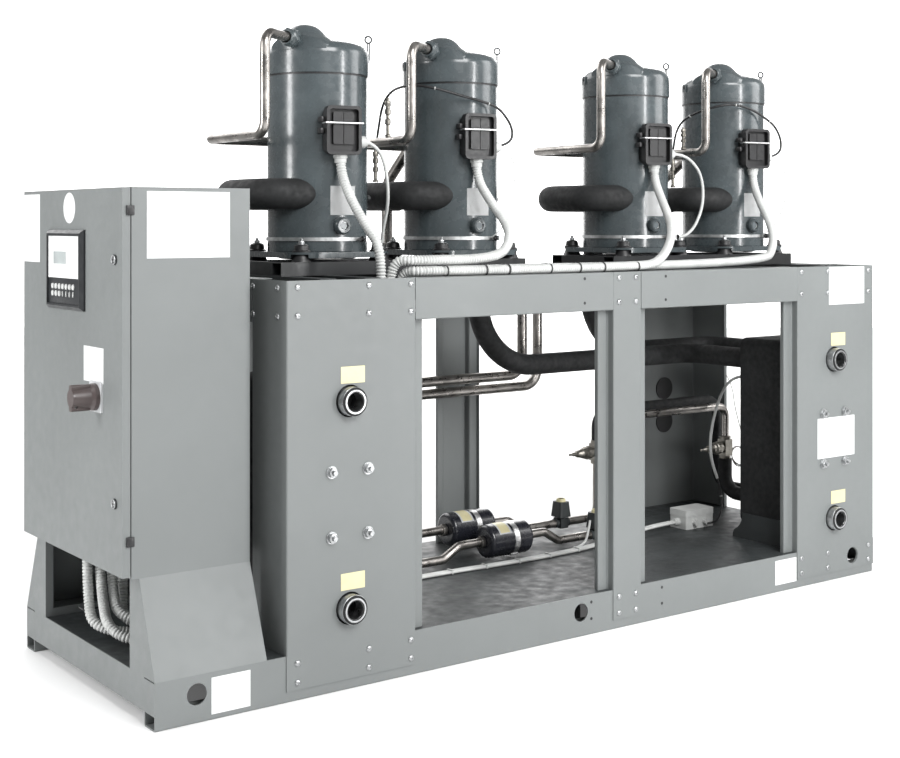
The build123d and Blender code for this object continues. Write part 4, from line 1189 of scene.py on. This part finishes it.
class CHILLER_OT_stage(bpy.types.Operator):
    """Pale floor, soft lights and the camera at the photograph's angle"""

    bl_idname = "chiller.stage"
    bl_label = "Stage"

    def execute(self, context):
        self.floor()
        self.backdrop()
        self.lights(context.scene)
        self.camera(context)
        return {"FINISHED"}

    def staged(self, name, bm, finish):
        """Turns a bmesh into a part of the stage."""
        mesh = bpy.data.meshes.new(name)
        bm.to_mesh(mesh)
        bm.free()
        mesh.materials.append(finish.material)
        piece = bpy.data.objects.new(name, mesh)
        bpy.context.collection.objects.link(piece)

    def floor(self):
        """Pale matte floor, wider than the view."""
        bm = bmesh.new()
        bmesh.ops.create_grid(bm, x_segments=1, y_segments=1, size=30)
        finish = Finish("floor", (0.8, 0.8, 0.8), 0.7)
        finish.tint(finish.noise(0.5, 2), (0.79, 0.79, 0.79), (0.82, 0.82, 0.82))
        finish.glow((1, 1, 1), 0.1)
        self.staged("floor", bm, finish)

    def backdrop(self):
        """White screen behind the object, square to the camera's view."""
        bm = bmesh.new()
        matrix = Matrix.Translation((7.2, 9.8, 1.8)) @ Matrix.Rotation(CAMERA_TURN, 4, "Z")
        bmesh.ops.create_cube(bm, size=1, matrix=matrix @ Matrix.Diagonal((14, 0.02, 7, 1)))
        self.staged("backdrop", bm, Finish("backdrop", (1, 1, 1), 1.0).glow((1, 1, 1), 1.0))

    def lights(self, scene):
        """Even white surroundings, and the softboxes."""
        world = bpy.data.worlds.new("studio")
        world.use_nodes = True
        background = world.node_tree.nodes["Background"]
        background.inputs["Color"].default_value = (1, 1, 1, 1)
        background.inputs["Strength"].default_value = 0.38
        scene.world = world
        scene.view_settings.view_transform = "Standard"
        for name, where, target, width, height, power in SOFTBOXES:
            data = bpy.data.lights.new(name, "AREA")
            data.shape = "RECTANGLE"
            data.size = width
            data.size_y = height
            data.energy = power
            light = bpy.data.objects.new(name, data)
            light.location = where
            facing = Vector(target) - Vector(where)
            light.rotation_euler = facing.to_track_quat("-Z", "Y").to_euler()
            bpy.context.collection.objects.link(light)

    def camera(self, context):
        """The photograph's camera: level, with its lens shifted."""
        data = bpy.data.cameras.new("photo_camera")
        data.sensor_width = 36
        data.lens = CAMERA_LENS
        data.shift_y = CAMERA_SHIFT
        camera = bpy.data.objects.new("photo_camera", data)
        camera.location = CAMERA_PLACE
        camera.rotation_euler = (math.radians(90), 0, CAMERA_TURN)
        context.collection.objects.link(camera)
        context.scene.camera = camera


class CHILLER_PT_panel(bpy.types.Panel):
    """Lists the chiller's operators and settings"""

    bl_idname = "CHILLER_PT_panel"
    bl_label = "Water Chiller"
    bl_space_type = "VIEW_3D"
    bl_region_type = "UI"
    bl_category = "Chiller"

    def draw(self, context):
        for settings in (context.scene.chiller_sizes, context.scene.chiller_colors):
            for name in settings.bl_rna.properties.keys():
                if name not in ("rna_type", "name"):
                    self.layout.prop(settings, name)
        for step in STEPS:
            self.layout.operator(step.bl_idname)


STEPS = (
    CHILLER_OT_finishes,
    CHILLER_OT_conduits,
    CHILLER_OT_cords,
    CHILLER_OT_fasteners,
    CHILLER_OT_labels,
    CHILLER_OT_connections,
    CHILLER_OT_display,
    CHILLER_OT_door_details,
    CHILLER_OT_compressor_details,
    CHILLER_OT_pipe_details,
    CHILLER_OT_stage,
)
CLASSES = (ChillerSizes, ChillerColors, *STEPS, CHILLER_PT_panel)


def register():
    for item in CLASSES:
        bpy.utils.register_class(item)
    bpy.types.Scene.chiller_sizes = PointerProperty(type=ChillerSizes)
    bpy.types.Scene.chiller_colors = PointerProperty(type=ChillerColors)


def unregister():
    del bpy.types.Scene.chiller_colors
    del bpy.types.Scene.chiller_sizes
    for item in reversed(CLASSES):
        bpy.utils.unregister_class(item)


def main():
    register()
    for step in STEPS:
        group, name = step.bl_idname.split(".")
        getattr(getattr(bpy.ops, group), name)()


if __name__ == "__main__":
    main()
